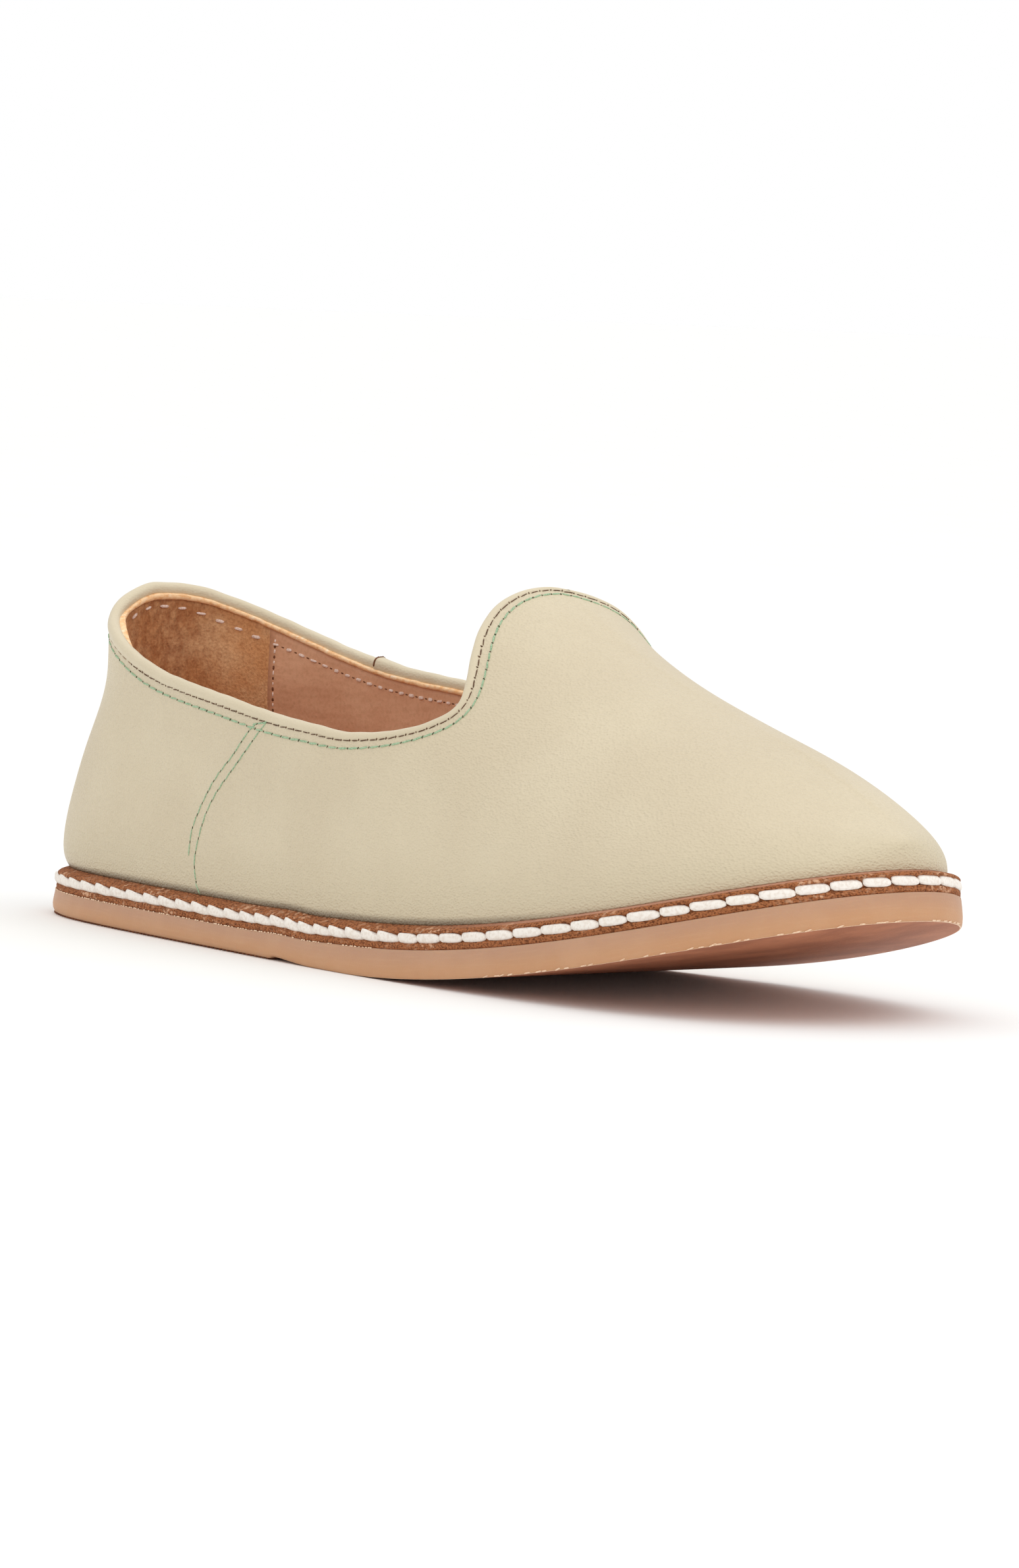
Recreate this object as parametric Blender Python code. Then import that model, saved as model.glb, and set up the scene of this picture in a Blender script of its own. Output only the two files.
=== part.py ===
"""Flat slip-on shoe for the right foot: outsole, welt, hollow upper, collar binding and insole.

Sizes are in millimetres. x runs from the heel to the toe, y to the inner side of the foot and z up.
"""
from collections import namedtuple

import bmesh
import bpy
import numpy as np

# Overall sizes
LENGTH = 262.0
GAP = 0.3
RUBBER_HEIGHT = 6.1
WELT_HEIGHT = 4.5
INSOLE_HEIGHT = 2.6

# Underside: heel tread, flat forefoot, toe spring
PAD_DEPTH = 0.8
PAD_END = 111.0
PAD_STEP = 0.8
FLAT_START = 127.0
FLAT_END = 139.0
TOE_SPRING = 21.7
SPRING_POWER = 1.75

# Upper
FEATHER_INSET = 3.6
WALL = 1.8
HEEL_LEAN = 21.4
HEEL_BULGE = 4.5
HEEL_RISE = 60.0
BULGE_RISE = 2.2
LEAN_REACH = 0.5

# Heel of the upper: how far it stands out from a plain lean, at even steps up to its height
HEEL_FORM = [0.0, 0.75, 0.75, 0.4, -0.6, -0.9, 0.8, 3.0]
HEEL_HEIGHT = 56.0
HEEL_CENTRE = 45.0
HEEL_REACH = 70.0

# Raised lip on the inner side of the tongue
TONGUE_LIP = 2.8
LIP_AT = 0.545
LIP_LONG = 0.03

# Collar binding
BEAD_HEIGHT = 2.7
BEAD_THICK = 3.6
BEAD_POINTS = 10

# Mesh counts
SOLE_STATIONS = 34
COLLAR_COLUMNS = 28
TOE_COLUMNS = 16
UPPER_ROWS = 11
ROW_CROWD = 1.35

OUTER = -1
INNER = 1

# Sole edge either side of the axis, nine stations from the heel to the toe
Outline = namedtuple("Outline", "outer inner")
OUTLINE = [
    Outline(0.0, 0.0),
    Outline(-19.6, 19.5),
    Outline(-29.1, 29.5),
    Outline(-35.2, 31.2),
    Outline(-40.7, 32.8),
    Outline(-42.2, 40.9),
    Outline(-37.2, 40.5),
    Outline(-21.0, 29.0),
    Outline(5.0, 5.0),
]

# Sections of the last at the same nine stations: crest height and place, then how full the wall and crown are
Section = namedtuple("Section", "top crest wall outer_crown inner_crown bulge")
SECTIONS = [
    Section(100.0, 0.0, 0.60, 0.66, 0.66, 0.05),
    Section(100.0, 0.0, 0.60, 0.66, 0.66, 0.05),
    Section(99.0, 0.0, 0.60, 0.66, 0.66, 0.05),
    Section(96.0, 1.0, 0.58, 0.64, 0.70, 0.04),
    Section(80.2, 4.2, 0.54, 0.57, 0.82, 0.02),
    Section(52.5, 4.8, 0.51, 0.54, 0.66, 0.02),
    Section(31.3, 5.8, 0.51, 0.54, 0.55, 0.02),
    Section(12.6, 7.5, 0.51, 0.54, 0.52, 0.02),
    Section(4.8, 5.0, 0.51, 0.54, 0.52, 0.02),
]

# Rim of the upper from the heel to the tongue tip: station at the sole, then station and share up the section
Rim = namedtuple("Rim", "sole outer_at outer_up inner_at inner_up")
RIM = [
    Rim(0.000, 0.000, 0.392, 0.000, 0.392),
    Rim(0.075, 0.085, 0.364, 0.085, 0.386),
    Rim(0.155, 0.180, 0.313, 0.180, 0.354),
    Rim(0.240, 0.275, 0.270, 0.275, 0.315),
    Rim(0.325, 0.360, 0.256, 0.360, 0.295),
    Rim(0.405, 0.435, 0.258, 0.435, 0.309),
    Rim(0.485, 0.501, 0.299, 0.500, 0.335),
    Rim(0.565, 0.547, 0.395, 0.552, 0.410),
    Rim(0.645, 0.562, 0.530, 0.578, 0.535),
    Rim(0.720, 0.549, 0.730, 0.565, 0.735),
    Rim(0.790, 0.552, 1.000, 0.552, 1.000),
]

# Side of the outsole and of the welt: inset from the outline and rise above the piece's underside
Step = namedtuple("Step", "inset rise")
RUBBER_SIDE = [
    Step(1.2, 0.0),
    Step(0.3, 0.35),
    Step(0.0, 1.1),
    Step(0.1, 2.8),
    Step(0.4, 4.8),
    Step(0.75, RUBBER_HEIGHT),
]
WELT_SIDE = [
    Step(1.1, 0.0),
    Step(0.8, 0.4),
    Step(0.8, 1.1),
    Step(1.5, 1.25),
    Step(1.5, 3.15),
    Step(0.9, 3.3),
    Step(1.2, 3.7),
    Step(3.2, WELT_HEIGHT),
]
INSOLE_SIDE = [
    Step(FEATHER_INSET + WALL + 0.9, 0.0),
    Step(FEATHER_INSET + WALL + 0.5, 0.5),
    Step(FEATHER_INSET + WALL + 0.6, 2.0),
    Step(FEATHER_INSET + WALL + 1.4, INSOLE_HEIGHT),
]

# Colours of the five pieces
RUBBER_COLOUR = (0.55, 0.30, 0.16, 1.0)
WELT_COLOUR = (0.31, 0.12, 0.055, 1.0)
UPPER_COLOUR = (0.62, 0.55, 0.40, 1.0)
BINDING_COLOUR = (0.60, 0.53, 0.38, 1.0)
INSOLE_COLOUR = (0.42, 0.20, 0.10, 1.0)


def curve(values, t, slope=False):
    """Natural cubic curve through evenly spaced values, or its slope, at shares t from 0 to 1."""
    values = np.asarray(values, float)
    count = len(values)
    pitch = 1.0 / (count - 1)
    matrix = np.eye(count)
    bend = np.zeros(count)
    for i in range(1, count - 1):
        matrix[i, i - 1:i + 2] = (1.0, 4.0, 1.0)
        bend[i] = 6.0 * (values[i - 1] - 2.0 * values[i] + values[i + 1]) / pitch ** 2
    bend = np.linalg.solve(matrix, bend)
    t = np.asarray(t, float)
    i = np.clip((t / pitch).astype(int), 0, count - 2)
    d = t - i * pitch
    rise = (values[i + 1] - values[i]) / pitch - pitch * (2.0 * bend[i] + bend[i + 1]) / 6.0
    twist = (bend[i + 1] - bend[i]) / (6.0 * pitch)
    if slope:
        return rise + bend[i] * d + 3.0 * twist * d ** 2
    return values[i] + rise * d + bend[i] / 2.0 * d ** 2 + twist * d ** 3


def column(table, name):
    """One named column of a table."""
    return [getattr(row, name) for row in table]


def smooth(share):
    """Ease from 0 to 1."""
    share = np.clip(share, 0.0, 1.0)
    return share * share * (3.0 - 2.0 * share)


def station(x):
    """Share along the shoe, crowded at both ends, for a distance from the heel."""
    return np.arccos(1.0 - 2.0 * np.asarray(x, float) / LENGTH) / np.pi


def ground(x):
    """Underside of the rubber above the floor: raised heel and waist, flat forefoot, toe spring."""
    waist = PAD_DEPTH * (1.0 - smooth((x - PAD_END) / (FLAT_START - PAD_END)))
    spring = np.clip((x - FLAT_END) / (LENGTH - FLAT_END), 0.0, None)
    return waist + TOE_SPRING * spring ** SPRING_POWER


def edge(t, side, inset):
    """Point of the sole outline moved inwards."""
    values = column(OUTLINE, "outer" if side == OUTER else "inner")
    x = LENGTH * (1.0 - np.cos(np.pi * t)) / 2.0
    y = curve(values, t)
    dx = LENGTH * np.pi * np.sin(np.pi * t) / 2.0
    dy = curve(values, t, slope=True)
    size = np.hypot(dx, dy)
    return x + inset * side * dy / size, y - inset * side * dx / size


def sole_stations():
    """Stations for the flat pieces, with the ends of the heel tread and of the flat forefoot among them."""
    even = np.linspace(0.0, 1.0, SOLE_STATIONS + 1)
    marks = station([PAD_END, PAD_END + PAD_STEP, FLAT_START, FLAT_END])
    keep = [t for t in even if np.abs(marks - t).min() > 0.006]
    return np.sort(np.concatenate([keep, marks]))


def loop(stations, inset, base, drop):
    """Closed ring round the shoe at one inset and height; drop lowers the stations under the heel tread."""
    points = []
    for side in (OUTER, INNER):
        x, y = edge(stations, side, inset)
        z = ground(x) + base - drop * (stations <= station(PAD_END) + 1e-6)
        ring = np.stack([x, y, z], axis=1)
        points.append(ring if side == OUTER else ring[-2:0:-1])
    return np.concatenate(points)


def plate(steps, base, drops):
    """Vertices and faces of a flat piece: rings stacked by its side table, closed above and below."""
    stations = sole_stations()
    last = len(stations) - 1
    count = 2 * last
    rings = [loop(stations, step.inset, base + step.rise, drop) for step, drop in zip(steps, drops)]
    faces = []
    for row in range(len(rings) - 1):
        low, high = row * count, (row + 1) * count
        for i in range(count):
            j = (i + 1) % count
            faces.append((low + i, low + j, high + j, high + i))
    top = (len(rings) - 1) * count
    for i in range(last):
        a, b, c, d = i, i + 1, (count - i - 1) % count, (count - i) % count
        under = [a, d, c, b]
        over = [top + a, top + b, top + c, top + d]
        faces.append(tuple(dict.fromkeys(under)))
        faces.append(tuple(dict.fromkeys(over)))
    return np.concatenate(rings), faces


def upper_point(t, up, side):
    """Point of the outer face of the upper: t along the shoe, up from the sole to the crest."""
    x, y = edge(t, side, FEATHER_INSET)
    z = ground(x) + RUBBER_HEIGHT + WELT_HEIGHT + 2.0 * GAP
    top = curve(column(SECTIONS, "top"), t)
    crest = curve(column(SECTIONS, "crest"), t)
    wall = curve(column(SECTIONS, "wall"), t)
    crown = curve(column(SECTIONS, "outer_crown" if side == OUTER else "inner_crown"), t)
    bulge = curve(column(SECTIONS, "bulge"), t)
    down = 1.0 - up
    across = down ** 3 + 3.0 * (1.0 + bulge) * down ** 2 * up + 3.0 * crown * down * up ** 2
    rise = top * (3.0 * wall * down ** 2 * up + 3.0 * down * up ** 2 + up ** 3)
    lean = HEEL_LEAN * rise / HEEL_RISE - HEEL_BULGE * (1.0 - np.exp(-rise / BULGE_RISE))
    x = x + smooth(1.0 - t / LEAN_REACH) * lean
    y = crest + (y - crest) * across
    out = curve(HEEL_FORM, np.clip(rise / HEEL_HEIGHT, 0.0, 1.0)) * smooth(1.25 - x / HEEL_REACH)
    away = np.hypot(x - HEEL_CENTRE, y) + 1e-6
    x, y = x + out * (x - HEEL_CENTRE) / away, y + out * y / away
    lift = TONGUE_LIP * np.exp(-((t - LIP_AT) / LIP_LONG) ** 2)
    lift = lift * (6.75 * up ** 2 * down) ** 3 * (side == INNER)
    return np.stack([x, y + lift, z + rise + lift], axis=-1)


def upper_columns(side):
    """Each column of the upper: station at the sole, station and share at its top end."""
    name = "outer" if side == OUTER else "inner"
    c = np.linspace(0.0, 1.0, COLLAR_COLUMNS + 1)
    sole = curve(column(RIM, "sole"), c)
    at = curve(column(RIM, name + "_at"), c)
    up = curve(column(RIM, name + "_up"), c)
    toe = np.linspace(0.0, 1.0, TOE_COLUMNS + 1)[1:]
    sole = np.concatenate([sole, sole[-1] + (1.0 - sole[-1]) * toe])
    at = np.concatenate([at, at[-1] + (1.0 - at[-1]) * toe])
    up = np.concatenate([up, np.ones(TOE_COLUMNS)])
    return sole, at, np.clip(up, 0.0, 1.0)


def turned(face):
    """The same face looking the other way, from the same first corner."""
    return face[:1] + face[:0:-1]


def upper_grid():
    """Outer face of the upper: vertices, faces, and the loops of vertex numbers at the rim and at the sole."""
    share = np.linspace(0.0, 1.0, UPPER_ROWS + 1) ** ROW_CROWD
    last = COLLAR_COLUMNS + TOE_COLUMNS
    points = []
    number = {}
    for side in (OUTER, INNER):
        sole, at, up = upper_columns(side)
        for c in range(last + 1):
            line = upper_point(sole[c] + (at[c] - sole[c]) * share, up[c] * share, side)
            for r in range(UPPER_ROWS + 1):
                on_crest = r == UPPER_ROWS and c >= COLLAR_COLUMNS
                if side == INNER and (c in (0, last) or on_crest):
                    number[side, c, r] = number[OUTER, c, r]
                    continue
                number[side, c, r] = len(points)
                points.append(line[r])
    faces = []
    for side in (OUTER, INNER):
        for c in range(last):
            for r in range(UPPER_ROWS):
                quad = (number[side, c, r], number[side, c + 1, r],
                        number[side, c + 1, r + 1], number[side, c, r + 1])
                faces.append(quad if side == OUTER else turned(quad))
    rim = [number[OUTER, c, UPPER_ROWS] for c in range(COLLAR_COLUMNS + 1)]
    rim += [number[INNER, c, UPPER_ROWS] for c in range(COLLAR_COLUMNS - 1, 0, -1)]
    foot = [number[OUTER, c, 0] for c in range(last + 1)]
    foot += [number[INNER, c, 0] for c in range(last - 1, 0, -1)]
    return np.array(points), faces, rim, foot


def face_normals(points, faces):
    """Unit normal at every vertex of an open surface."""
    normal = np.zeros_like(points)
    for face in faces:
        a, b, c, d = points[list(face)]
        turn = np.cross(c - a, d - b)
        for v in face:
            normal[v] += turn
    return normal / np.linalg.norm(normal, axis=1)[:, None]


def upper_shell():
    """The hollow upper: outer face, inner face one wall inside it, closed at the rim and along the sole."""
    points, faces, rim, foot = upper_grid()
    normal = face_normals(points, faces)
    inward = -normal
    inward[foot, 2] = 0.0
    inward[foot] /= np.linalg.norm(inward[foot], axis=1)[:, None]
    inner = points + WALL * inward
    count = len(points)
    faces = faces + [tuple(v + count for v in turned(face)) for face in faces]
    for a, b in zip(rim, rim[1:] + rim[:1]):
        faces.append((a, b, b + count, a + count))
    for a, b in zip(foot, foot[1:] + foot[:1]):
        faces.append((b, a, a + count, b + count))
    return np.concatenate([points, inner]), faces


def binding_ring():
    """Rolled binding: an oval bead carried round the rim, one gap clear of it."""
    points, faces, rim, _ = upper_grid()
    normal = face_normals(points, faces)[rim]
    path = points[rim] - normal * WALL / 2.0
    along = np.roll(path, -1, axis=0) - np.roll(path, 1, axis=0)
    along /= np.linalg.norm(along, axis=1)[:, None]
    above = np.cross(normal, along)
    above /= np.linalg.norm(above, axis=1)[:, None]
    centre = path + above * (GAP + 0.05 + BEAD_HEIGHT / 2.0)
    verts = []
    for k in range(BEAD_POINTS):
        turn = 2.0 * np.pi * k / BEAD_POINTS
        verts.append(centre + above * np.sin(turn) * BEAD_HEIGHT / 2.0 + normal * np.cos(turn) * BEAD_THICK / 2.0)
    count = len(rim)
    faces = []
    for k in range(BEAD_POINTS):
        low, high = k * count, (k + 1) % BEAD_POINTS * count
        for i in range(count):
            j = (i + 1) % count
            faces.append((low + i, low + j, high + j, high + i))
    return np.concatenate(verts), faces


def make_piece(name, shape, colour, roughness):
    """One closed solid in metres with its own material, the shoe's middle over the origin."""
    verts, faces = shape
    middle = np.array([LENGTH / 2.0, 0.0, 0.0])
    triangles = [(face[0], face[i], face[i + 1]) for face in faces for i in range(1, len(face) - 1)]
    mesh = bpy.data.meshes.new(name)
    mesh.from_pydata([tuple(v) for v in (verts - middle) / 1000.0], [], triangles)
    work = bmesh.new()
    work.from_mesh(mesh)
    bmesh.ops.recalc_face_normals(work, faces=work.faces)
    work.to_mesh(mesh)
    work.free()
    material = bpy.data.materials.new(name + "_material")
    material.use_nodes = True
    finish = material.node_tree.nodes["Principled BSDF"]
    finish.inputs["Base Color"].default_value = colour
    finish.inputs["Roughness"].default_value = roughness
    mesh.materials.append(material)
    piece = bpy.data.objects.new(name, mesh)
    bpy.context.scene.collection.objects.link(piece)
    return piece


def main():
    """Clear the scene and build the five pieces from the floor up."""
    for old in list(bpy.data.objects):
        bpy.data.objects.remove(old, do_unlink=True)
    rubber_drops = [PAD_DEPTH, PAD_DEPTH] + [0.0] * (len(RUBBER_SIDE) - 2)
    welt_base = RUBBER_HEIGHT + GAP
    insole_base = welt_base + WELT_HEIGHT + GAP
    outsole = plate(RUBBER_SIDE, 0.0, rubber_drops)
    welt = plate(WELT_SIDE, welt_base, [0.0] * len(WELT_SIDE))
    insole = plate(INSOLE_SIDE, insole_base, [0.0] * len(INSOLE_SIDE))
    make_piece("outsole", outsole, RUBBER_COLOUR, 0.45)
    make_piece("welt", welt, WELT_COLOUR, 0.8)
    make_piece("upper", upper_shell(), UPPER_COLOUR, 0.5)
    make_piece("collar_binding", binding_ring(), BINDING_COLOUR, 0.5)
    make_piece("insole", insole, INSOLE_COLOUR, 0.75)


main()
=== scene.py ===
"""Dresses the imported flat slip-on shoe: leather upper, lining, threads, stitched welt and gum-rubber sole.

Sizes are in millimetres, measured from the back of the heel along x, until a mesh is made.
"""
import logging
import math
from dataclasses import dataclass
from enum import Enum
from functools import lru_cache
from typing import Callable, NamedTuple, Sequence, Union

import bpy
import numpy as np
from mathutils import Matrix, Vector
from mathutils.bvhtree import BVHTree


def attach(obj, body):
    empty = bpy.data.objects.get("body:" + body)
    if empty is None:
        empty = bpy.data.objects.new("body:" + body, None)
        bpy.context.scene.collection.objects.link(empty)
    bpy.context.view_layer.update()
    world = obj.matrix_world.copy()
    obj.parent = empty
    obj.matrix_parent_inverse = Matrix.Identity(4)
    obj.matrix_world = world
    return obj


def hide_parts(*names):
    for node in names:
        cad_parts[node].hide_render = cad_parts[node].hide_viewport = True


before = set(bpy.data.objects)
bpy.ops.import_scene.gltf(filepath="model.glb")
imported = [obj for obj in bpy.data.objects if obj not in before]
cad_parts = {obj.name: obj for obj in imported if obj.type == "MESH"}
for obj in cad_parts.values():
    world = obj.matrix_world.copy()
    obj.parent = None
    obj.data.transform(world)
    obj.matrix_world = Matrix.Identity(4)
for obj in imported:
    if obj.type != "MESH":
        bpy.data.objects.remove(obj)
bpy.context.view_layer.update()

LOG = logging.getLogger("slip_on_shoe")
Array = np.ndarray
Value = Union[bpy.types.Node, bpy.types.NodeSocket, float]
MM = 0.001
BODY = "root"


class Side(Enum):
    """The two sides of the foot, with the sign of y."""

    OUTER = -1
    INNER = 1


class Outline(NamedTuple):
    """Sole edge either side of the axis."""

    outer: float
    inner: float


class Section(NamedTuple):
    """Section of the last: crest height and place, then how full the wall and crown are."""

    top: float
    crest: float
    wall: float
    outer_crown: float
    inner_crown: float
    bulge: float


class Rim(NamedTuple):
    """Rim of the upper: station at the sole, then station and share up the section."""

    sole: float
    outer_at: float
    outer_up: float
    inner_at: float
    inner_up: float


class Step(NamedTuple):
    """Point of a side profile: inset from the outline and rise above the underside.

    At the heel it may also drop by a share of the tread's depth, and tuck in further.
    """

    inset: float
    rise: float
    drop: float = 0.0
    tuck: float = 0.0


class Bead(NamedTuple):
    """Point of the binding's profile: outwards from mid wall, and drop below the crest as a share."""

    out: float
    drop: float


class Crease(NamedTuple):
    """Soft trough or ridge in the leather between two places on the upper."""

    side: Side
    start_at: float
    start_up: float
    end_at: float
    end_up: float
    width: float
    depth: float


OUTLINE = (
    Outline(0.0, 0.0),
    Outline(-19.6, 19.5),
    Outline(-29.1, 29.5),
    Outline(-35.2, 31.2),
    Outline(-40.7, 32.8),
    Outline(-42.2, 40.9),
    Outline(-37.2, 40.5),
    Outline(-21.0, 29.0),
    Outline(5.0, 5.0),
)
SECTIONS = (
    Section(100.0, 0.0, 0.60, 0.66, 0.66, 0.05),
    Section(100.0, 0.0, 0.60, 0.66, 0.66, 0.05),
    Section(99.0, 0.0, 0.60, 0.66, 0.66, 0.05),
    Section(96.0, 1.0, 0.58, 0.64, 0.70, 0.04),
    Section(80.2, 4.2, 0.54, 0.57, 0.82, 0.02),
    Section(52.5, 4.8, 0.51, 0.54, 0.66, 0.02),
    Section(31.3, 5.8, 0.51, 0.54, 0.55, 0.02),
    Section(12.6, 7.5, 0.51, 0.54, 0.52, 0.02),
    Section(4.8, 5.0, 0.51, 0.54, 0.52, 0.02),
)
RIM = (
    Rim(0.000, 0.000, 0.392, 0.000, 0.392),
    Rim(0.075, 0.085, 0.364, 0.085, 0.386),
    Rim(0.155, 0.180, 0.313, 0.180, 0.354),
    Rim(0.240, 0.275, 0.270, 0.275, 0.315),
    Rim(0.325, 0.360, 0.256, 0.360, 0.295),
    Rim(0.405, 0.435, 0.258, 0.435, 0.309),
    Rim(0.485, 0.501, 0.299, 0.500, 0.335),
    Rim(0.565, 0.549, 0.395, 0.552, 0.410),
    Rim(0.645, 0.566, 0.530, 0.578, 0.535),
    Rim(0.720, 0.549, 0.730, 0.565, 0.735),
    Rim(0.790, 0.552, 1.000, 0.552, 1.000),
)
# How far the heel stands out from the plain section, at even steps from the sole to its full height
HEEL_FORM = (0.0, 0.78, 0.72, 0.17, -0.75, -0.4, 1.7, 3.2)


def column(table: Sequence[NamedTuple], name: str) -> list[float]:
    """One named column of a table."""
    return [getattr(row, name) for row in table]


def ease(share: Array) -> Array:
    """Smooth step from 0 to 1."""
    share = np.clip(share, 0.0, 1.0)
    return share * share * (3.0 - 2.0 * share)


def curve(values: Sequence[float], t: Array, slope: bool = False) -> Array:
    """Natural cubic curve through evenly spaced values.

    Args:
        values: Heights of the curve at even steps from 0 to 1.
        t: Shares at which to read it.
        slope: Give the slope instead of the height.

    Returns:
        One number for each share.
    """
    knots = np.asarray(values, float)
    count = len(knots)
    pitch = 1.0 / (count - 1)
    matrix = np.eye(count)
    bend = np.zeros(count)
    for i in range(1, count - 1):
        matrix[i, i - 1:i + 2] = (1.0, 4.0, 1.0)
        bend[i] = 6.0 * (knots[i - 1] - 2.0 * knots[i] + knots[i + 1]) / pitch ** 2
    bend = np.linalg.solve(matrix, bend)
    t = np.asarray(t, float)
    i = np.clip((t / pitch).astype(int), 0, count - 2)
    d = t - i * pitch
    rise = (knots[i + 1] - knots[i]) / pitch - pitch * (2.0 * bend[i] + bend[i + 1]) / 6.0
    twist = (bend[i + 1] - bend[i]) / (6.0 * pitch)
    if slope:
        return rise + bend[i] * d + 3.0 * twist * d ** 2
    return knots[i] + rise * d + bend[i] / 2.0 * d ** 2 + twist * d ** 3


def unit(vectors: Array) -> Array:
    """The same vectors at length one."""
    return vectors / np.maximum(np.linalg.norm(vectors, axis=-1, keepdims=True), 1e-9)


def distances(points: Array) -> Array:
    """Distance along a line at each of its points."""
    return np.concatenate([[0.0], np.cumsum(np.linalg.norm(np.diff(points, axis=0), axis=1))])


def ripple(run: Array, waves: Sequence[float], seed: int, total: float | None = None) -> Array:
    """Uneven hand-made wave along a path.

    Args:
        run: Distance along the path.
        waves: Wave lengths that are mixed.
        seed: Picks the phases.
        total: Length of a closed path, to which the wave lengths are fitted.

    Returns:
        Values of about -1 to 1.
    """
    if total is not None:
        waves = [total / round(total / wave) for wave in waves]
    phases = np.random.default_rng(seed).uniform(0.0, 2.0 * math.pi, len(waves))
    height = sum(np.sin(2.0 * math.pi * run / wave + phase) for wave, phase in zip(waves, phases))
    return height / len(waves)


@dataclass(frozen=True)
class Last:
    """The form the shoe is made on, with the heights of what lies under it."""

    length: float = 262.0
    gap: float = 0.3
    rubber: float = 6.1
    welt: float = 4.5
    pad_depth: float = 0.8
    pad_end: float = 111.0
    flat_start: float = 127.0
    flat_end: float = 139.0
    toe_spring: float = 21.7
    spring_power: float = 1.75
    feather: float = 3.6
    wall: float = 1.8
    heel_lean: float = 21.4
    heel_bulge: float = 4.5
    heel_rise: float = 60.0
    bulge_rise: float = 2.2
    lean_reach: float = 0.5
    heel_centre: float = 45.0
    heel_height: float = 60.5
    heel_reach: float = 70.0
    heel_fade: float = 1.25
    heel_sink: float = 1.35
    sink_power: int = 14
    sink_start: float = 96.0
    sink_end: float = 150.0
    meet: float = 0.07
    tongue_lip: float = 2.8
    lip_at: float = 0.545
    lip_long: float = 0.03

    def station(self, x: Array) -> Array:
        """Share along the shoe for a distance from the heel."""
        return np.arccos(1.0 - 2.0 * np.asarray(x, float) / self.length) / math.pi

    def distance(self, t: Array) -> Array:
        """Distance from the heel for a share along the shoe."""
        return self.length * (1.0 - np.cos(math.pi * t)) / 2.0

    def ground(self, x: Array) -> Array:
        """Underside of the rubber above the floor.

        Args:
            x: Distances from the heel.

        Returns:
            One height for each.
        """
        share = (x - self.pad_end) / (self.flat_start - self.pad_end)
        spring = np.clip((x - self.flat_end) / (self.length - self.flat_end), 0.0, None)
        return self.pad_depth * (1.0 - ease(share)) + self.toe_spring * spring ** self.spring_power

    def heel_share(self, x: Array) -> Array:
        """1 along the heel, fading to 0 at the forefoot."""
        return ease((self.sink_end - np.asarray(x, float)) / (self.sink_end - self.sink_start))

    def edge(self, t: Array, side: Side, inset: float | Array) -> tuple[Array, Array]:
        """Point of the sole outline moved inwards.

        Args:
            t: Shares along the shoe.
            side: Side of the foot.
            inset: Distance inside the outline.

        Returns:
            The x and y of each point.
        """
        values = column(OUTLINE, side.name.lower())
        t = np.asarray(t, float)
        x = self.distance(t)
        dx = self.length * math.pi * np.sin(math.pi * t) / 2.0
        dy = curve(values, t, slope=True)
        size = np.hypot(dx, dy)
        return x + inset * side.value * dy / size, curve(values, t) - inset * side.value * dx / size

    def surface(self, t: Array, up: Array, side: Side) -> Array:
        """Point of the outer face of the upper.

        Args:
            t: Shares along the shoe.
            up: Shares up the section, from the sole to the crest.
            side: Side of the foot.

        Returns:
            Points, one row each.
        """
        down = 1.0 - up
        x, y = self.edge(t, side, self.feather)
        z = self.ground(x) + self.rubber + self.welt + 2.0 * self.gap
        z = z - self.heel_sink * self.heel_share(x) * down ** self.sink_power
        crest = curve(column(SECTIONS, "crest"), t)
        crown = curve(column(SECTIONS, side.name.lower() + "_crown"), t)
        bulge = 1.0 + curve(column(SECTIONS, "bulge"), t)
        across = down ** 3 + 3.0 * bulge * down ** 2 * up + 3.0 * crown * down * up ** 2
        wall = curve(column(SECTIONS, "wall"), t)
        rise = 3.0 * wall * down ** 2 * up + 3.0 * down * up ** 2 + up ** 3
        rise = rise * curve(column(SECTIONS, "top"), t)
        lean = self.heel_lean * rise / self.heel_rise
        lean = lean - self.heel_bulge * (1.0 - np.exp(-rise / self.bulge_rise))
        x = x + ease(1.0 - t / self.lean_reach) * lean
        y = crest + (y - crest) * across
        out = curve(HEEL_FORM, np.clip(rise / self.heel_height, 0.0, 1.0))
        out = out * ease(self.heel_fade - x / self.heel_reach)
        away = np.hypot(x - self.heel_centre, y) + 1e-6
        x, y = x + out * (x - self.heel_centre) / away, y + out * y / away
        lift = self.tongue_lip * np.exp(-((t - self.lip_at) / self.lip_long) ** 2)
        # The factor brings the top of this bump to one
        lift = lift * (6.75 * up ** 2 * down) ** 3 * (side is Side.INNER)
        return np.stack([x, y + lift, z + rise + lift], axis=-1)

    def columns(self, side: Side, place: Array) -> tuple[Array, Array, Array]:
        """Columns of the upper from the sole to its top edge.

        Args:
            side: Side of the foot.
            place: 0 to 1 round the collar from the heel to the tongue tip, 1 to 2 on to the toe.

        Returns:
            Station at the sole, station at the top and share up at the top.
        """
        name = side.name.lower()
        collar = np.minimum(place, 1.0)
        toe = np.clip(place - 1.0, 0.0, 1.0)
        sole = curve(column(RIM, "sole"), collar)
        at = curve(column(RIM, name + "_at"), collar)
        flat = collar ** 2 * (2.0 * self.meet - collar) / self.meet ** 2
        level = np.where(collar < self.meet, flat, collar)
        up = np.clip(curve(column(RIM, name + "_up"), level), 0.0, 1.0)
        return sole + (1.0 - sole) * toe, at + (1.0 - at) * toe, np.where(place >= 1.0, 1.0, up)

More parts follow.
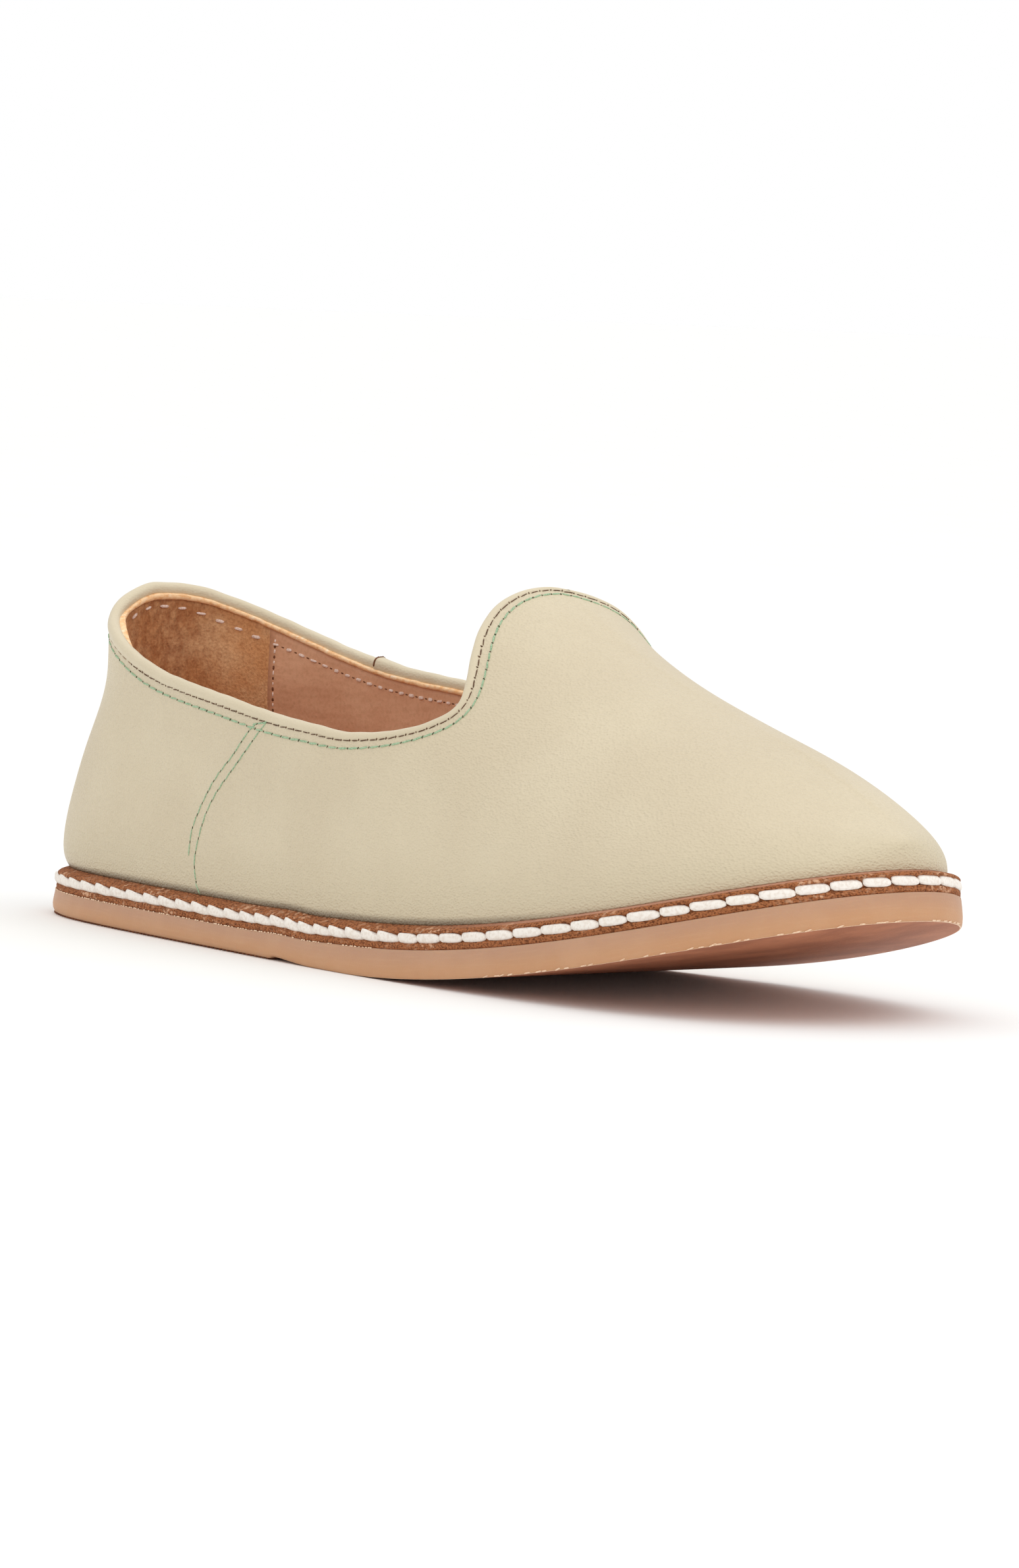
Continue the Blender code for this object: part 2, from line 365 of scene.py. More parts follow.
    def loop(self, stations: Array, inset: float | Array, base: float, drop: float = 0.0,
             sink: float = 0.0) -> Array:
        """Closed ring round the shoe.

        Args:
            stations: Shares along the shoe, from 0 to 1.
            inset: Distance inside the outline.
            base: Height above the underside.
            drop: How far the ring is lowered under the heel tread.
            sink: Share of the heel's sink that lowers the ring.

        Returns:
            Points from the heel along the outer side to the toe and back.
        """
        rings = []
        for side in Side:
            x, y = self.edge(stations, side, inset)
            z = self.ground(x) + base - drop * (stations <= self.station(self.pad_end) + 1e-6)
            z = z - sink * self.heel_sink * self.heel_share(x)
            ring = np.stack([x, y, z], axis=1)
            rings.append(ring if side is Side.OUTER else ring[-2:0:-1])
        return np.concatenate(rings)


LAST = Last()
# Point that the finished pieces have as their origin
MIDDLE = np.array([LAST.length / 2.0, 0.0, 0.0])


@dataclass
class Sheet:
    """Open or closed surface with its vertex facts."""

    points: Array
    faces: list[tuple[int, ...]]
    rise: Array
    run: Array
    rim: list[int]

    def normals(self) -> Array:
        """Find the surface's directions.

        Returns:
            Unit normal at every vertex.
        """
        total = np.zeros_like(self.points)
        quads = np.array([face if len(face) == 4 else face + face[-1:] for face in self.faces])
        corner = self.points[quads]
        turn = np.cross(corner[:, 2] - corner[:, 0], corner[:, 3] - corner[:, 1])
        for k in range(4):
            np.add.at(total, quads[:, k], turn)
        return unit(total)

    def border(self) -> list[tuple[int, int]]:
        """Find the open edges.

        Returns:
            Edges that belong to one face, in that face's own direction.
        """
        seen: dict[tuple[int, int], tuple[int, int]] = {}
        for face in self.faces:
            for a, b in zip(face, face[1:] + face[:1]):
                if (b, a) in seen:
                    del seen[b, a]
                else:
                    seen[a, b] = (a, b)
        return list(seen.values())

    def tree(self) -> BVHTree:
        """Search tree of the surface."""
        return BVHTree.FromPolygons([Vector(p) for p in self.points], self.faces)

    def thick(self, outside: Array, inside: Array) -> "Sheet":
        """Closed wall made from this surface.

        Args:
            outside: Points of the outer face.
            inside: Points of the inner face.

        Returns:
            The closed wall.
        """
        count = len(self.points)
        faces = list(self.faces)
        faces += [tuple(v + count for v in face[::-1]) for face in self.faces]
        faces += [(b, a, a + count, b + count) for a, b in self.border()]
        facts = [np.concatenate([fact, fact]) for fact in (self.rise, self.run)]
        return Sheet(np.concatenate([outside, inside]), faces, facts[0], facts[1], self.rim)


# Rows of the upper lie closer together towards the sole
ROW_POWER = 1.2


def upper_sheet(first: float, last: float, columns: int, rows: int,
                lean: Callable[[Array], Array] | None = None) -> Sheet:
    """Outer face of the upper between two places round it, both sides joined where they meet.

    Args:
        first: Place where it starts, 0 at the heel.
        last: Place where it ends, 1 at the tongue tip and 2 at the toe.
        columns: Columns on each side.
        rows: Rows from the sole to the top edge.
        lean: Forward shift of each column's foot, by its place.

    Returns:
        The surface, with its rim from the heel along the outer side.
    """
    place = np.unique(np.concatenate([np.linspace(first, last, columns + 1), [min(max(1.0, first), last)]]))
    share = np.linspace(0.0, 1.0, rows + 1) ** ROW_POWER
    number: dict[tuple[Side, int, int], int] = {}
    points: list[Array] = []
    rises: list[float] = []
    runs: list[float] = []
    for side in Side:
        sole, at, up = LAST.columns(side, place)
        sole = sole if lean is None else sole + lean(place)
        floor = LAST.surface(sole, np.zeros_like(sole), side)
        along = distances(floor)
        for c, here in enumerate(place):
            line = LAST.surface(sole[c] + (at[c] - sole[c]) * share, up[c] * share, side)
            height = distances(line)
            for r in range(rows + 1):
                crest = r == rows and here >= 1.0
                if side is Side.INNER and (here in (0.0, 2.0) or crest):
                    number[side, c, r] = number[Side.OUTER, c, r]
                    continue
                number[side, c, r] = len(points)
                points.append(line[r])
                rises.append(height[r])
                runs.append(-side.value * along[c])
    faces = []
    for side in Side:
        for c in range(len(place) - 1):
            for r in range(rows):
                quad = (number[side, c, r], number[side, c + 1, r],
                        number[side, c + 1, r + 1], number[side, c, r + 1])
                quad = quad if side is Side.OUTER else quad[::-1]
                faces.append(tuple(dict.fromkeys(quad)))
    collar = [c for c, here in enumerate(place) if here <= 1.0]
    rim = [number[Side.OUTER, c, rows] for c in collar]
    rim += [number[Side.INNER, c, rows] for c in collar[::-1] if place[c] not in (0.0, 1.0)]
    return Sheet(np.array(points), faces, np.array(rises), np.array(runs), rim)


# Steps of the rim on each side, half the gap between the two steps at the binding's joint, and how far the
# rim's directions are felt out
RIM_STEPS = 320
JOINT_GAP = 3e-4
FEEL_ALONG = 0.002
FEEL_UP = 0.004
FEEL_START = 0.0005


@dataclass
class RimPath:
    """The collar's edge as a closed path with its own directions."""

    points: Array
    normal: Array
    above: Array
    run: Array
    place: Array

    @classmethod
    def make(cls, count: int, joint: float) -> "RimPath":
        """Path with even steps in place.

        Args:
            count: Steps on each side.
            joint: Place with two steps close together.

        Returns:
            The path from the heel along the outer side and back.
        """
        close = [joint - JOINT_GAP, joint + JOINT_GAP]
        place = np.unique(np.concatenate([np.linspace(0.0, 1.0, count + 1), close]))
        lines, faces, places = [], [], []
        for side in Side:
            _, at, up = LAST.columns(side, place)
            here = LAST.surface(at, up, side)
            under = LAST.surface(at, up - FEEL_UP, side)
            before = LAST.surface(np.clip(at - FEEL_ALONG, FEEL_START, 1.0), up, side)
            after = LAST.surface(at + FEEL_ALONG, up, side)
            normal = unit(np.cross(after - before, here - under) * -side.value)
            normal[0] = unit(normal[0] * np.array([1.0, 0.0, 1.0]))
            part = slice(None) if side is Side.OUTER else slice(-2, 0, -1)
            lines.append(here[part])
            faces.append(normal[part])
            places.append((-side.value * place)[part])
        points, normal = np.concatenate(lines), np.concatenate(faces)
        along = unit(np.roll(points, -1, axis=0) - np.roll(points, 1, axis=0))
        above = unit(np.cross(normal, along))
        return cls(points, normal, above, distances(points), np.concatenate(places))

    def wave(self, waves: Sequence[float], seed: int) -> Array:
        """Uneven wave round the rim that meets its own start."""
        total = self.run[-1] + float(np.linalg.norm(self.points[0] - self.points[-1]))
        return ripple(self.run, waves, seed, total)

    def at(self, out: Array | float, above: Array | float) -> Array:
        """Points beside the rim.

        Args:
            out: Distance outwards from the middle of the wall.
            above: Distance above the rim, along the wall.

        Returns:
            One point for each of the rim's.
        """
        out = np.broadcast_to(np.asarray(out, float), self.run.shape)[:, None] - LAST.wall / 2.0
        above = np.broadcast_to(np.asarray(above, float), self.run.shape)[:, None]
        return self.points + self.normal * out + self.above * above


def sweep(rings: Sequence[Array], rises: Sequence[float], run: Array, closed: bool) -> Sheet:
    """Surface through closed rings of equal length.

    Args:
        rings: Rings from the bottom to the top of a profile.
        rises: Height of each ring in the profile.
        run: Distance along the ring at each point.
        closed: Whether the profile joins up with its start.

    Returns:
        The surface, with no rim.
    """
    count = len(rings[0])
    faces = []
    for row in range(len(rings) if closed else len(rings) - 1):
        low, high = row * count, (row + 1) % len(rings) * count
        for i in range(count):
            j = (i + 1) % count
            faces.append((low + i, low + j, high + j, high + i))
    return Sheet(np.concatenate(rings), faces, np.repeat(rises, count), np.tile(run, len(rings)), [])


def cap(sheet: Sheet, stations: int, rings: int) -> None:
    """Close a stack of sole rings above and below.

    Args:
        sheet: The swept side, changed in place.
        stations: Steps along the shoe.
        rings: How many rings it has.
    """
    count = 2 * stations
    top = (rings - 1) * count
    for i in range(stations):
        a, b, c, d = i, i + 1, (count - i - 1) % count, (count - i) % count
        sheet.faces.append(tuple(dict.fromkeys((a, d, c, b))))
        sheet.faces.append(tuple(dict.fromkeys((top + a, top + b, top + c, top + d))))


def add_object(name: str, data: bpy.types.ID) -> bpy.types.Object:
    """Put a new object into the scene.

    Args:
        name: Its name.
        data: Its mesh, light or camera.

    Returns:
        The linked object.
    """
    made = bpy.data.objects.new(name, data)
    bpy.context.scene.collection.objects.link(made)
    return made


def make_piece(name: str, sheet: Sheet, materials: Sequence[bpy.types.Material]) -> bpy.types.Object:
    """Mesh object in metres, the shoe's middle over the origin.

    Args:
        name: Name of the piece.
        sheet: Its surface.
        materials: Its materials, the first for every face.

    Returns:
        The linked object.
    """
    mesh = bpy.data.meshes.new(name)
    mesh.from_pydata(((sheet.points - MIDDLE) * MM).tolist(), [], sheet.faces)
    for label, values in (("rise", sheet.rise), ("run", sheet.run)):
        mesh.attributes.new(label, "FLOAT", "POINT").data.foreach_set("value", values.astype(np.float32))
    for material in materials:
        mesh.materials.append(material)
    mesh.polygons.foreach_set("use_smooth", [True] * len(mesh.polygons))
    mesh.update()
    return add_object(name, mesh)


def settle(piece: bpy.types.Object, slot: str, *nodes: str) -> None:
    """Fix a finished piece to the shoe.

    Args:
        piece: The piece.
        slot: Material slot of the record; not used.
        nodes: Solids that it stands for.
    """
    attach(piece, BODY)
    if nodes:
        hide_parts(*nodes)
    LOG.info("%s: %d faces", piece.name, len(piece.data.polygons))


def linear(code: str) -> tuple[float, float, float, float]:
    """Linear colour of an sRGB hex code.

    Args:
        code: Six hex digits after a hash sign.

    Returns:
        Red, green, blue and a full alpha.
    """
    shares = [int(code[i:i + 2], 16) / 255.0 for i in (1, 3, 5)]
    values = [s / 12.92 if s <= 0.04045 else ((s + 0.055) / 1.055) ** 2.4 for s in shares]
    return values[0], values[1], values[2], 1.0


def per_mm(size: float) -> float:
    """Texture scale for a pattern of that size, on coordinates in metres."""
    return 1.0 / (size * MM)


def wire(node: bpy.types.Node, inputs: dict) -> None:
    """Set or link a node's inputs.

    Args:
        node: The node.
        inputs: By input name or number: a value, a socket, or a node that gives its first open output.
    """
    for key, value in inputs.items():
        if isinstance(value, bpy.types.Node):
            value = next(output for output in value.outputs if output.enabled)
        if isinstance(value, bpy.types.NodeSocket):
            node.id_data.links.new(value, node.inputs[key])
        else:
            node.inputs[key].default_value = value


def add_node(tree: bpy.types.NodeTree, kind: str, settings: dict | None = None,
             inputs: dict | None = None) -> bpy.types.Node:
    """Add a node with its settings, and set or link its inputs.

    Args:
        tree: Node tree.
        kind: Type of node.
        settings: Properties by name.
        inputs: Inputs as wire takes them.

    Returns:
        The new node.
    """
    made = tree.nodes.new(kind)
    for key, value in (settings or {}).items():
        setattr(made, key, value)
    wire(made, inputs or {})
    return made


class Paint:
    """A material under construction: its node tree, coordinates and surface shader."""

    def __init__(self, name: str) -> None:
        """Start an empty material.

        Args:
            name: Its name.
        """
        self.material = bpy.data.materials.new(name)
        self.material.use_nodes = True
        self.shader = self.material.node_tree.nodes["Principled BSDF"]
        self.place = self.add("ShaderNodeTexCoord").outputs["Object"]

    def add(self, kind: str, settings: dict | None = None, inputs: dict | None = None) -> bpy.types.Node:
        """Add a node to this material."""
        return add_node(self.material.node_tree, kind, settings, inputs)

    def fact(self, name: str) -> bpy.types.NodeSocket:
        """Rise or run in millimetres, as kept at the vertices."""
        return self.add("ShaderNodeAttribute", {"attribute_name": name}).outputs["Fac"]

    def ahead(self) -> bpy.types.NodeSocket:
        """Distance in front of the shoe's middle, in metres."""
        return self.add("ShaderNodeSeparateXYZ", None, {0: self.place}).outputs["X"]

    def squashed(self, across: float, up: float) -> bpy.types.Node:
        """Coordinates scaled alike along and across the shoe, and by another factor upwards."""
        return self.add("ShaderNodeMapping", None, {"Vector": self.place, "Scale": (across, across, up)})

    def noise(self, size: float, detail: float = 2.0, seed: float | None = None,
              at: Value | None = None) -> bpy.types.Node:
        """Add a cloudy pattern.

        Args:
            size: Size of its clouds in millimetres.
            detail: How far finer clouds are mixed in.
            seed: Picks one of many patterns of that size.
            at: Coordinates in metres, where they aren't the object's own.

        Returns:
            The new node.
        """
        inputs = {"Vector": self.place if at is None else at, "Scale": per_mm(size), "Detail": detail}
        if seed is None:
            return self.add("ShaderNodeTexNoise", None, inputs)
        return self.add("ShaderNodeTexNoise", {"noise_dimensions": "4D"}, {**inputs, "W": seed})

    def streaks(self, across: Value, up: Value, size: float) -> bpy.types.Node:
        """Add a pattern on flat coordinates in millimetres."""
        flat = self.add("ShaderNodeCombineXYZ", None, {0: across, 1: up})
        return self.add("ShaderNodeTexNoise", None, {"Vector": flat, "Scale": 1.0 / size, "Detail": 2.0})

    def ramp(self, value: Value, low: float, high: float, start: float = 0.0,
             end: float = 1.0) -> bpy.types.Node:
        """Soft step from start to end while a value goes from low to high."""
        return self.add("ShaderNodeMapRange", {"interpolation_type": "SMOOTHSTEP"},
                        {"Value": value, "From Min": low, "From Max": high, "To Min": start, "To Max": end})

    def blend(self, share: Value, under: Value | str, over: str) -> bpy.types.Node:
        """Lay a colour by a share over another one, which is a hex code or a node."""
        under = linear(under) if isinstance(under, str) else under
        return self.add("ShaderNodeMix", {"data_type": "RGBA"}, {0: share, 6: under, 7: linear(over)})

    def times(self, first: Value, second: Value) -> bpy.types.Node:
        """Product of two values."""
        return self.add("ShaderNodeMath", {"operation": "MULTIPLY"}, {0: first, 1: second})

    def bump(self, height: Value, depth: float, under: bpy.types.Node | None = None) -> bpy.types.Node:
        """Relief of a depth in millimetres, laid upon another one if there is one."""
        inputs = {"Height": height, "Distance": depth * MM, "Strength": 1.0}
        return self.add("ShaderNodeBump", None, inputs if under is None else {**inputs, "Normal": under})

    def finish(self, inputs: dict) -> bpy.types.Material:
        """Set the surface shader and give the material."""
        wire(self.shader, inputs)
        return self.material


@dataclass(frozen=True)
class SmoothCalf:
    """Dyed full-grain calf: fine pebbled grain, soft sheen, faint cloudy dye, dark where it meets the welt,
    partly soil and partly painted shade.

    The dark line at the welt fades out towards the toe.
    """

    name: str
    body: str
    light: str
    low: str
    grain: float = 0.52
    pore: float = 0.45
    swell: float = 9.0
    rub: float = 14.0
    relief: float = 1.0
    cloud: float = 34.0
    low_reach: float = 17.0
    shade_and_soil: str = "#5E4B34"
    shade_and_soil_reach: float = 2.0
    soil_from: float = 30.0
    soil_to: float = 95.0

    def make(self) -> bpy.types.Material:
        """Build the material.

        Returns:
            The finished material.
        """
        p = Paint(self.name)
        rise = p.fact("rise")
        colour = p.blend(p.ramp(p.noise(self.cloud, 3.0), 0.35, 0.7), self.body, self.light)
        colour = p.blend(p.ramp(rise, 1.0, self.low_reach, 0.75, 0.0), colour, self.low)
        # Dark line at the foot of the leather: partly soil, partly painted shade where the upper tucks into
        # the welt
        share = p.ramp(rise, 0.3, self.shade_and_soil_reach, 0.9, 0.0)
        back = p.ramp(p.ahead(), self.soil_from * MM, self.soil_to * MM, 1.0, 0.1)
        colour = p.blend(p.times(share, back), colour, self.shade_and_soil)
        pores = p.noise(self.pore, seed=3.0)
        colour = p.blend(p.ramp(pores, 0.3, 0.75, 0.2, 0.0), colour, self.low)
        relief = p.bump(p.noise(self.swell, seed=1.0), 0.16 * self.relief)
        # The pebbles of the grain are a little longer than they are high
        cells = p.add("ShaderNodeTexVoronoi", {"feature": "SMOOTH_F1"},
                      {"Vector": p.squashed(0.8, 1.25), "Scale": per_mm(self.grain), "Smoothness": 0.6})
        relief = p.bump(cells, 0.2 * self.relief, relief)
        relief = p.bump(pores, 0.06 * self.relief, relief)
        rough = p.ramp(p.noise(self.rub, seed=4.0), 0.3, 0.7, 0.42, 0.5)
        return p.finish({"Base Color": colour, "Roughness": rough, "Normal": relief,
                         "Specular IOR Level": 0.45, "Coat Weight": 0.06, "Coat Roughness": 0.35})


@dataclass(frozen=True)
class Suede:
    """Brushed suede: matt nap, uneven brushing, soft upright folds at the back of the heel, with painted
    shade in their troughs.

    It is darker low down.
    """

    name: str
    body: str
    light: str
    dark: str
    fold: float = 2.2
    brush: float = 8.0
    nap: float = 0.6

    def make(self) -> bpy.types.Material:
        """Build the material.

        Returns:
            The finished material.
        """
        p = Paint(self.name)
        run, rise = p.fact("run"), p.fact("rise")
        near = p.ramp(p.add("ShaderNodeMath", {"operation": "ABSOLUTE"}, {0: run}), 6.0, 34.0, 1.0, 0.1)
        folds = p.streaks(run, p.times(rise, 0.6), self.fold)
        colour = p.blend(p.ramp(p.noise(self.brush, 3.0), 0.32, 0.68), self.body, self.light)
        nap = p.noise(self.nap, seed=2.0)
        colour = p.blend(p.ramp(nap, 0.35, 0.75, 0.0, 0.4), colour, self.dark)
        # Painted shade: the troughs of the folds near the heel are darkened in colour
        colour = p.blend(p.times(p.ramp(folds, 0.25, 0.7, 0.7, 0.35), near), colour, self.dark)
        colour = p.blend(p.ramp(rise, 16.0, 40.0, 0.55, 0.0), colour, self.dark)
        relief = p.bump(nap, 0.22, p.bump(p.times(folds, near), 1.1))
        return p.finish({"Base Color": colour, "Roughness": 0.95, "Normal": relief,
                         "Specular IOR Level": 0.15, "Sheen Weight": 0.3, "Sheen Roughness": 0.5,
                         "Sheen Tint": linear(self.light)})


@dataclass(frozen=True)
class LiningHide:
    """Vegetable-tanned lining hide: smooth and dull, with fine pores, slack wrinkles and faint clouding."""

    name: str
    body: str
    light: str
    dark: str
    cloud: float = 12.0
    pore: float = 0.7
    wrinkle: float = 5.0

    def make(self) -> bpy.types.Material:
        """Build the material.

        Returns:
            The finished material.
        """
        p = Paint(self.name)
        colour = p.blend(p.ramp(p.noise(self.cloud, 4.0), 0.3, 0.7), self.body, self.light)
        pores = p.noise(self.pore, 3.0, 1.0)
        colour = p.blend(p.ramp(pores, 0.4, 0.75, 0.0, 0.35), colour, self.dark)
        relief = p.bump(p.noise(self.wrinkle, seed=3.0, at=p.squashed(0.3, 1.0)), 0.6)
        relief = p.bump(pores, 0.06, relief)
        return p.finish({"Base Color": colour, "Roughness": 0.62, "Normal": relief,
                         "Specular IOR Level": 0.35})


@dataclass(frozen=True)
class CutHide:
    """Cut edge of thick hide: rough fibres, dark pits and pale worn streaks.

    Above the height top_from it turns rosy towards the toe, as the welt's upper lip does.
    """

    name: str
    body: str
    light: str
    dark: str
    top: str = "#C4927A"
    top_from: float = 99.0
    top_fade: float = 0.3
    toe_from: float = 25.0
    toe_to: float = 75.0
    fibre: float = 0.5
    streak: float = 0.9
    depth: float = 0.2
    wear: float = 7.0

    def make(self) -> bpy.types.Material:
        """Build the material.

        Returns:
            The finished material.
        """
        p = Paint(self.name)
        rise = p.fact("rise")
        flat = p.squashed(0.8, 1.3)
        fibres = p.noise(self.fibre, 4.0, at=flat)
        colour = p.blend(p.ramp(fibres, 0.3, 0.62), self.dark, self.body)
        patches = p.ramp(p.noise(self.wear, seed=4.0), 0.45, 0.7)
        streaks = p.ramp(p.noise(self.streak, 3.0, 6.0, flat), 0.48, 0.65)
        colour = p.blend(p.times(patches, streaks), colour, self.light)
        share = p.ramp(rise, self.top_from, self.top_from + self.top_fade, 0.0, 0.75)
        toe = p.ramp(p.ahead(), self.toe_from * MM, self.toe_to * MM)
        colour = p.blend(p.times(share, toe), colour, self.top)
        return p.finish({"Base Color": colour, "Roughness": 0.86, "Normal": p.bump(fibres, self.depth),
                         "Specular IOR Level": 0.2})


@dataclass(frozen=True)
class GumRubber:
    """Moulded gum rubber: honey coloured, slightly see-through, with faint moulding lines and fine grit."""

    name: str
    top: str
    bottom: str
    pale: str
    cloud: float = 9.0
    line: float = 0.6
    grit: float = 0.4

    def make(self) -> bpy.types.Material:
        """Build the material.

        Returns:
            The finished material.
        """
        p = Paint(self.name)
        rise, run = p.fact("rise"), p.fact("run")
        colour = p.blend(p.ramp(rise, 1.0, 5.8), self.bottom, self.top)
        colour = p.blend(p.ramp(p.noise(self.cloud, 3.0), 0.35, 0.75, 0.0, 0.25), colour, self.pale)
        lines = p.streaks(p.times(run, 0.06), rise, self.line)
        colour = p.blend(p.ramp(lines, 0.5, 0.7, 0.0, 0.12), colour, self.pale)
        grit = p.noise(self.grit, 3.0, 2.0)
        colour = p.blend(p.ramp(grit, 0.5, 0.75, 0.0, 0.4), colour, self.bottom)
        relief = p.bump(grit, 0.08, p.bump(lines, 0.03))
        return p.finish({"Base Color": colour, "Roughness": 0.5, "Normal": relief, "Specular IOR Level": 0.35,
                         "Subsurface Weight": 0.18, "Subsurface Radius": (1.0, 0.45, 0.2),
                         "Subsurface Scale": 0.004})


@dataclass(frozen=True)
class TreadRubber:
    """Underside of the rubber: redder and dull, with a fine grit."""

    name: str
    body: str
    dark: str
    cloud: float = 11.0
    grit: float = 0.9

    def make(self) -> bpy.types.Material:
        """Build the material.

        Returns:
            The finished material.
        """
        p = Paint(self.name)
        colour = p.blend(p.ramp(p.noise(self.cloud, 4.0), 0.3, 0.7), self.dark, self.body)
        grit = p.noise(self.grit, 3.0, 2.0)
        colour = p.blend(p.ramp(grit, 0.5, 0.75, 0.0, 0.4), colour, self.dark)
        return p.finish({"Base Color": colour, "Roughness": 0.62, "Normal": p.bump(grit, 0.12),
                         "Specular IOR Level": 0.3})


@dataclass(frozen=True)
class Thread:
    """Twisted thread: dull fibres with slight shade along the twist."""

    name: str
    body: str
    dark: str
    fibre: float = 0.35
    rough: float = 0.7
    relief: float = 0.1

    def make(self) -> bpy.types.Material:
        """Build the material.

        Returns:
            The finished material.
        """
        p = Paint(self.name)
        strands = p.noise(self.fibre, 3.0)
        colour = p.blend(p.ramp(strands, 0.3, 0.6), self.dark, self.body)
        relief = p.bump(strands, self.relief)
        return p.finish({"Base Color": colour, "Roughness": self.rough, "Normal": relief,
                         "Specular IOR Level": 0.3})


@dataclass(frozen=True)
class PaintedFloor:
    """Matt white studio floor: nearly even, with a trace of roller texture."""

    name: str
    body: str
    shade: str
    cloud: float = 60.0

    def make(self) -> bpy.types.Material:
        """Build the material.

        Returns:
            The finished material.
        """
        p = Paint(self.name)
        colour = p.blend(p.noise(self.cloud), self.body, self.shade)
        return p.finish({"Base Color": colour, "Roughness": 0.9, "Specular IOR Level": 0.1})


SAGE_CALF = SmoothCalf("sage_calf", "#D0C1A4", "#D6C8AB", "#CCBEA0")
# The strip keeps the calf's line of soil and painted shade, narrowed to its lowest ring
SAGE_STRIP = SmoothCalf("sage_calf_strip", "#D2C4A7", "#D8CBAF", "#D2C4A7", relief=0.35, low_reach=1.1,
                        shade_and_soil_reach=0.3)
HEEL_SUEDE = Suede("tan_suede", "#D89E6C", "#E8B98A", "#8A4A26")
FRONT_HIDE = LiningHide("brown_lining_hide", "#D9A481", "#DFAD8A", "#BA8661")
RAW_EDGE = CutHide("raw_lining_edge", "#FFD9AC", "#FFEBCF", "#F0B880", fibre=1.1, depth=0.04, wear=4.0)
WELT_HIDE = CutHide("welt_hide", "#A96A42", "#D6A886", "#5F3219", top_from=4.05, fibre=0.42)
SOCK_HIDE = LiningHide("insole_hide", "#C08A66", "#CB9974", "#94623F")
GUM = GumRubber("gum_rubber", "#B98E72", "#C4936B", "#D0A684")
# Pale gum: real cement crumbs at the heel, and painted highlights on the front's bottom edge and its moulded
# nicks
PALE_GUM = Thread("pale_gum", "#EFD2B4", "#DDB592", rough=0.5)
TREAD = TreadRubber("tread_rubber", "#BC7C5B", "#A2664A")
# Heel ribs in a darker brown than the rest of the underside: painted shade under the heel
SHADED_HEEL_TREAD = TreadRubber("heel_tread_rubber", "#8E5638", "#6E3F28")
GREEN = Thread("mint_thread", "#A9C3A1", "#82A17E")
BROWN = Thread("brown_thread", "#6A4C38", "#45301F")
FADED = Thread("faded_thread", "#B8A28A", "#97806A")
# Needle holes are drawn as small dark marks: painted shade in the holes
HOLE_SHADE = Thread("needle_hole", "#5B6148", "#444A36", rough=0.95)
# Lining holes and the binding's joint mark: small dark marks of painted shade
LINING_HOLE_SHADE = Thread("lining_hole", "#7E5238", "#66402A", rough=0.95)
ROSE = Thread("rose_thread", "#F4E0D5", "#DDBBA8")
WAXED = Thread("waxed_thread", "#F3ECE3", "#E6DBCF", fibre=0.7, rough=0.55, relief=0.04)
PALE_FLOOR = PaintedFloor("pale_floor", "#F9F9F8", "#F7F7F6")


class Shape(Enum):
    """Forms of one stitch or rib, of length, width and height one."""

    DASH = "dash"
    LOZENGE = "lozenge"
    DROP = "drop"
    BAR = "bar"


class Ring(NamedTuple):
    """Cross section of a stitch: place along it, width, height, shift sideways and lift."""

    at: float
    width: float
    height: float
    shift: float = 0.0
    lift: float = 0.0


STITCH_RINGS = {
    Shape.DASH: (Ring(-0.5, 0.35, 0.2), Ring(-0.3, 0.95, 0.9), Ring(0.3, 0.95, 0.9), Ring(0.5, 0.35, 0.2)),
    Shape.LOZENGE: (Ring(-0.5, 0.38, 0.25, 0.11), Ring(-0.47, 0.66, 0.6, 0.1), Ring(-0.37, 0.92, 0.9, 0.05),
                    Ring(-0.1, 1.0, 1.0, 0.01), Ring(0.18, 0.98, 1.0, -0.02), Ring(0.36, 0.86, 0.86, -0.06),
                    Ring(0.47, 0.56, 0.52, -0.1), Ring(0.51, 0.3, 0.22, -0.12)),
    Shape.DROP: (Ring(-0.5, 0.72, 0.5, 0.16, 0.22), Ring(-0.47, 0.95, 0.85, 0.16, 0.22),
                 Ring(-0.32, 1.0, 1.0, 0.11, 0.14), Ring(-0.05, 0.97, 1.0, 0.03, 0.04),
                 Ring(0.22, 0.86, 0.9, -0.06, -0.06), Ring(0.42, 0.66, 0.65, -0.13, -0.18),
                 Ring(0.53, 0.4, 0.3, -0.16, -0.28)),
    Shape.BAR: (Ring(-0.5, 0.9, 0.9), Ring(0.5, 0.9, 0.9)),
}
STITCH_CORNERS = 8
# Below one, the section of a stitch is fuller than an ellipse
STITCH_FULLNESS = 0.75
# How far an uneven stitch swings, in radians for each unit of unevenness, and seeds of its three chances
STITCH_SWING = 0.6
STITCH_SEEDS = (0.0, 17.0, 34.0)


def stitch_form(shape: Shape) -> bpy.types.Object:
    """Mesh of one stitch.

    Args:
        shape: Which form.

    Returns:
        An object that is not linked to the scene.
    """
    turns = np.linspace(0.0, 2.0 * math.pi, STITCH_CORNERS, endpoint=False) + math.pi / STITCH_CORNERS
    verts, faces = [], []
    rings = STITCH_RINGS[shape]
    for ring in rings:
        for turn in turns:
            across, up = (math.copysign(abs(v) ** STITCH_FULLNESS, v)
                          for v in (math.cos(turn), math.sin(turn)))
            verts.append((ring.at, across * ring.width / 2.0 + ring.shift,
                          up * ring.height / 2.0 + ring.lift))
    for row in range(len(rings) - 1):
        low, high = row * STITCH_CORNERS, (row + 1) * STITCH_CORNERS
        for i in range(STITCH_CORNERS):
            j = (i + 1) % STITCH_CORNERS
            faces.append((low + i, low + j, high + j, high + i))
    faces.append(tuple(range(STITCH_CORNERS))[::-1])
    faces.append(tuple(len(verts) - STITCH_CORNERS + i for i in range(STITCH_CORNERS)))
    mesh = bpy.data.meshes.new("stitch_" + shape.value)
    mesh.from_pydata(verts, [], faces)
    mesh.update()
    return bpy.data.objects.new("stitch_" + shape.value, mesh)


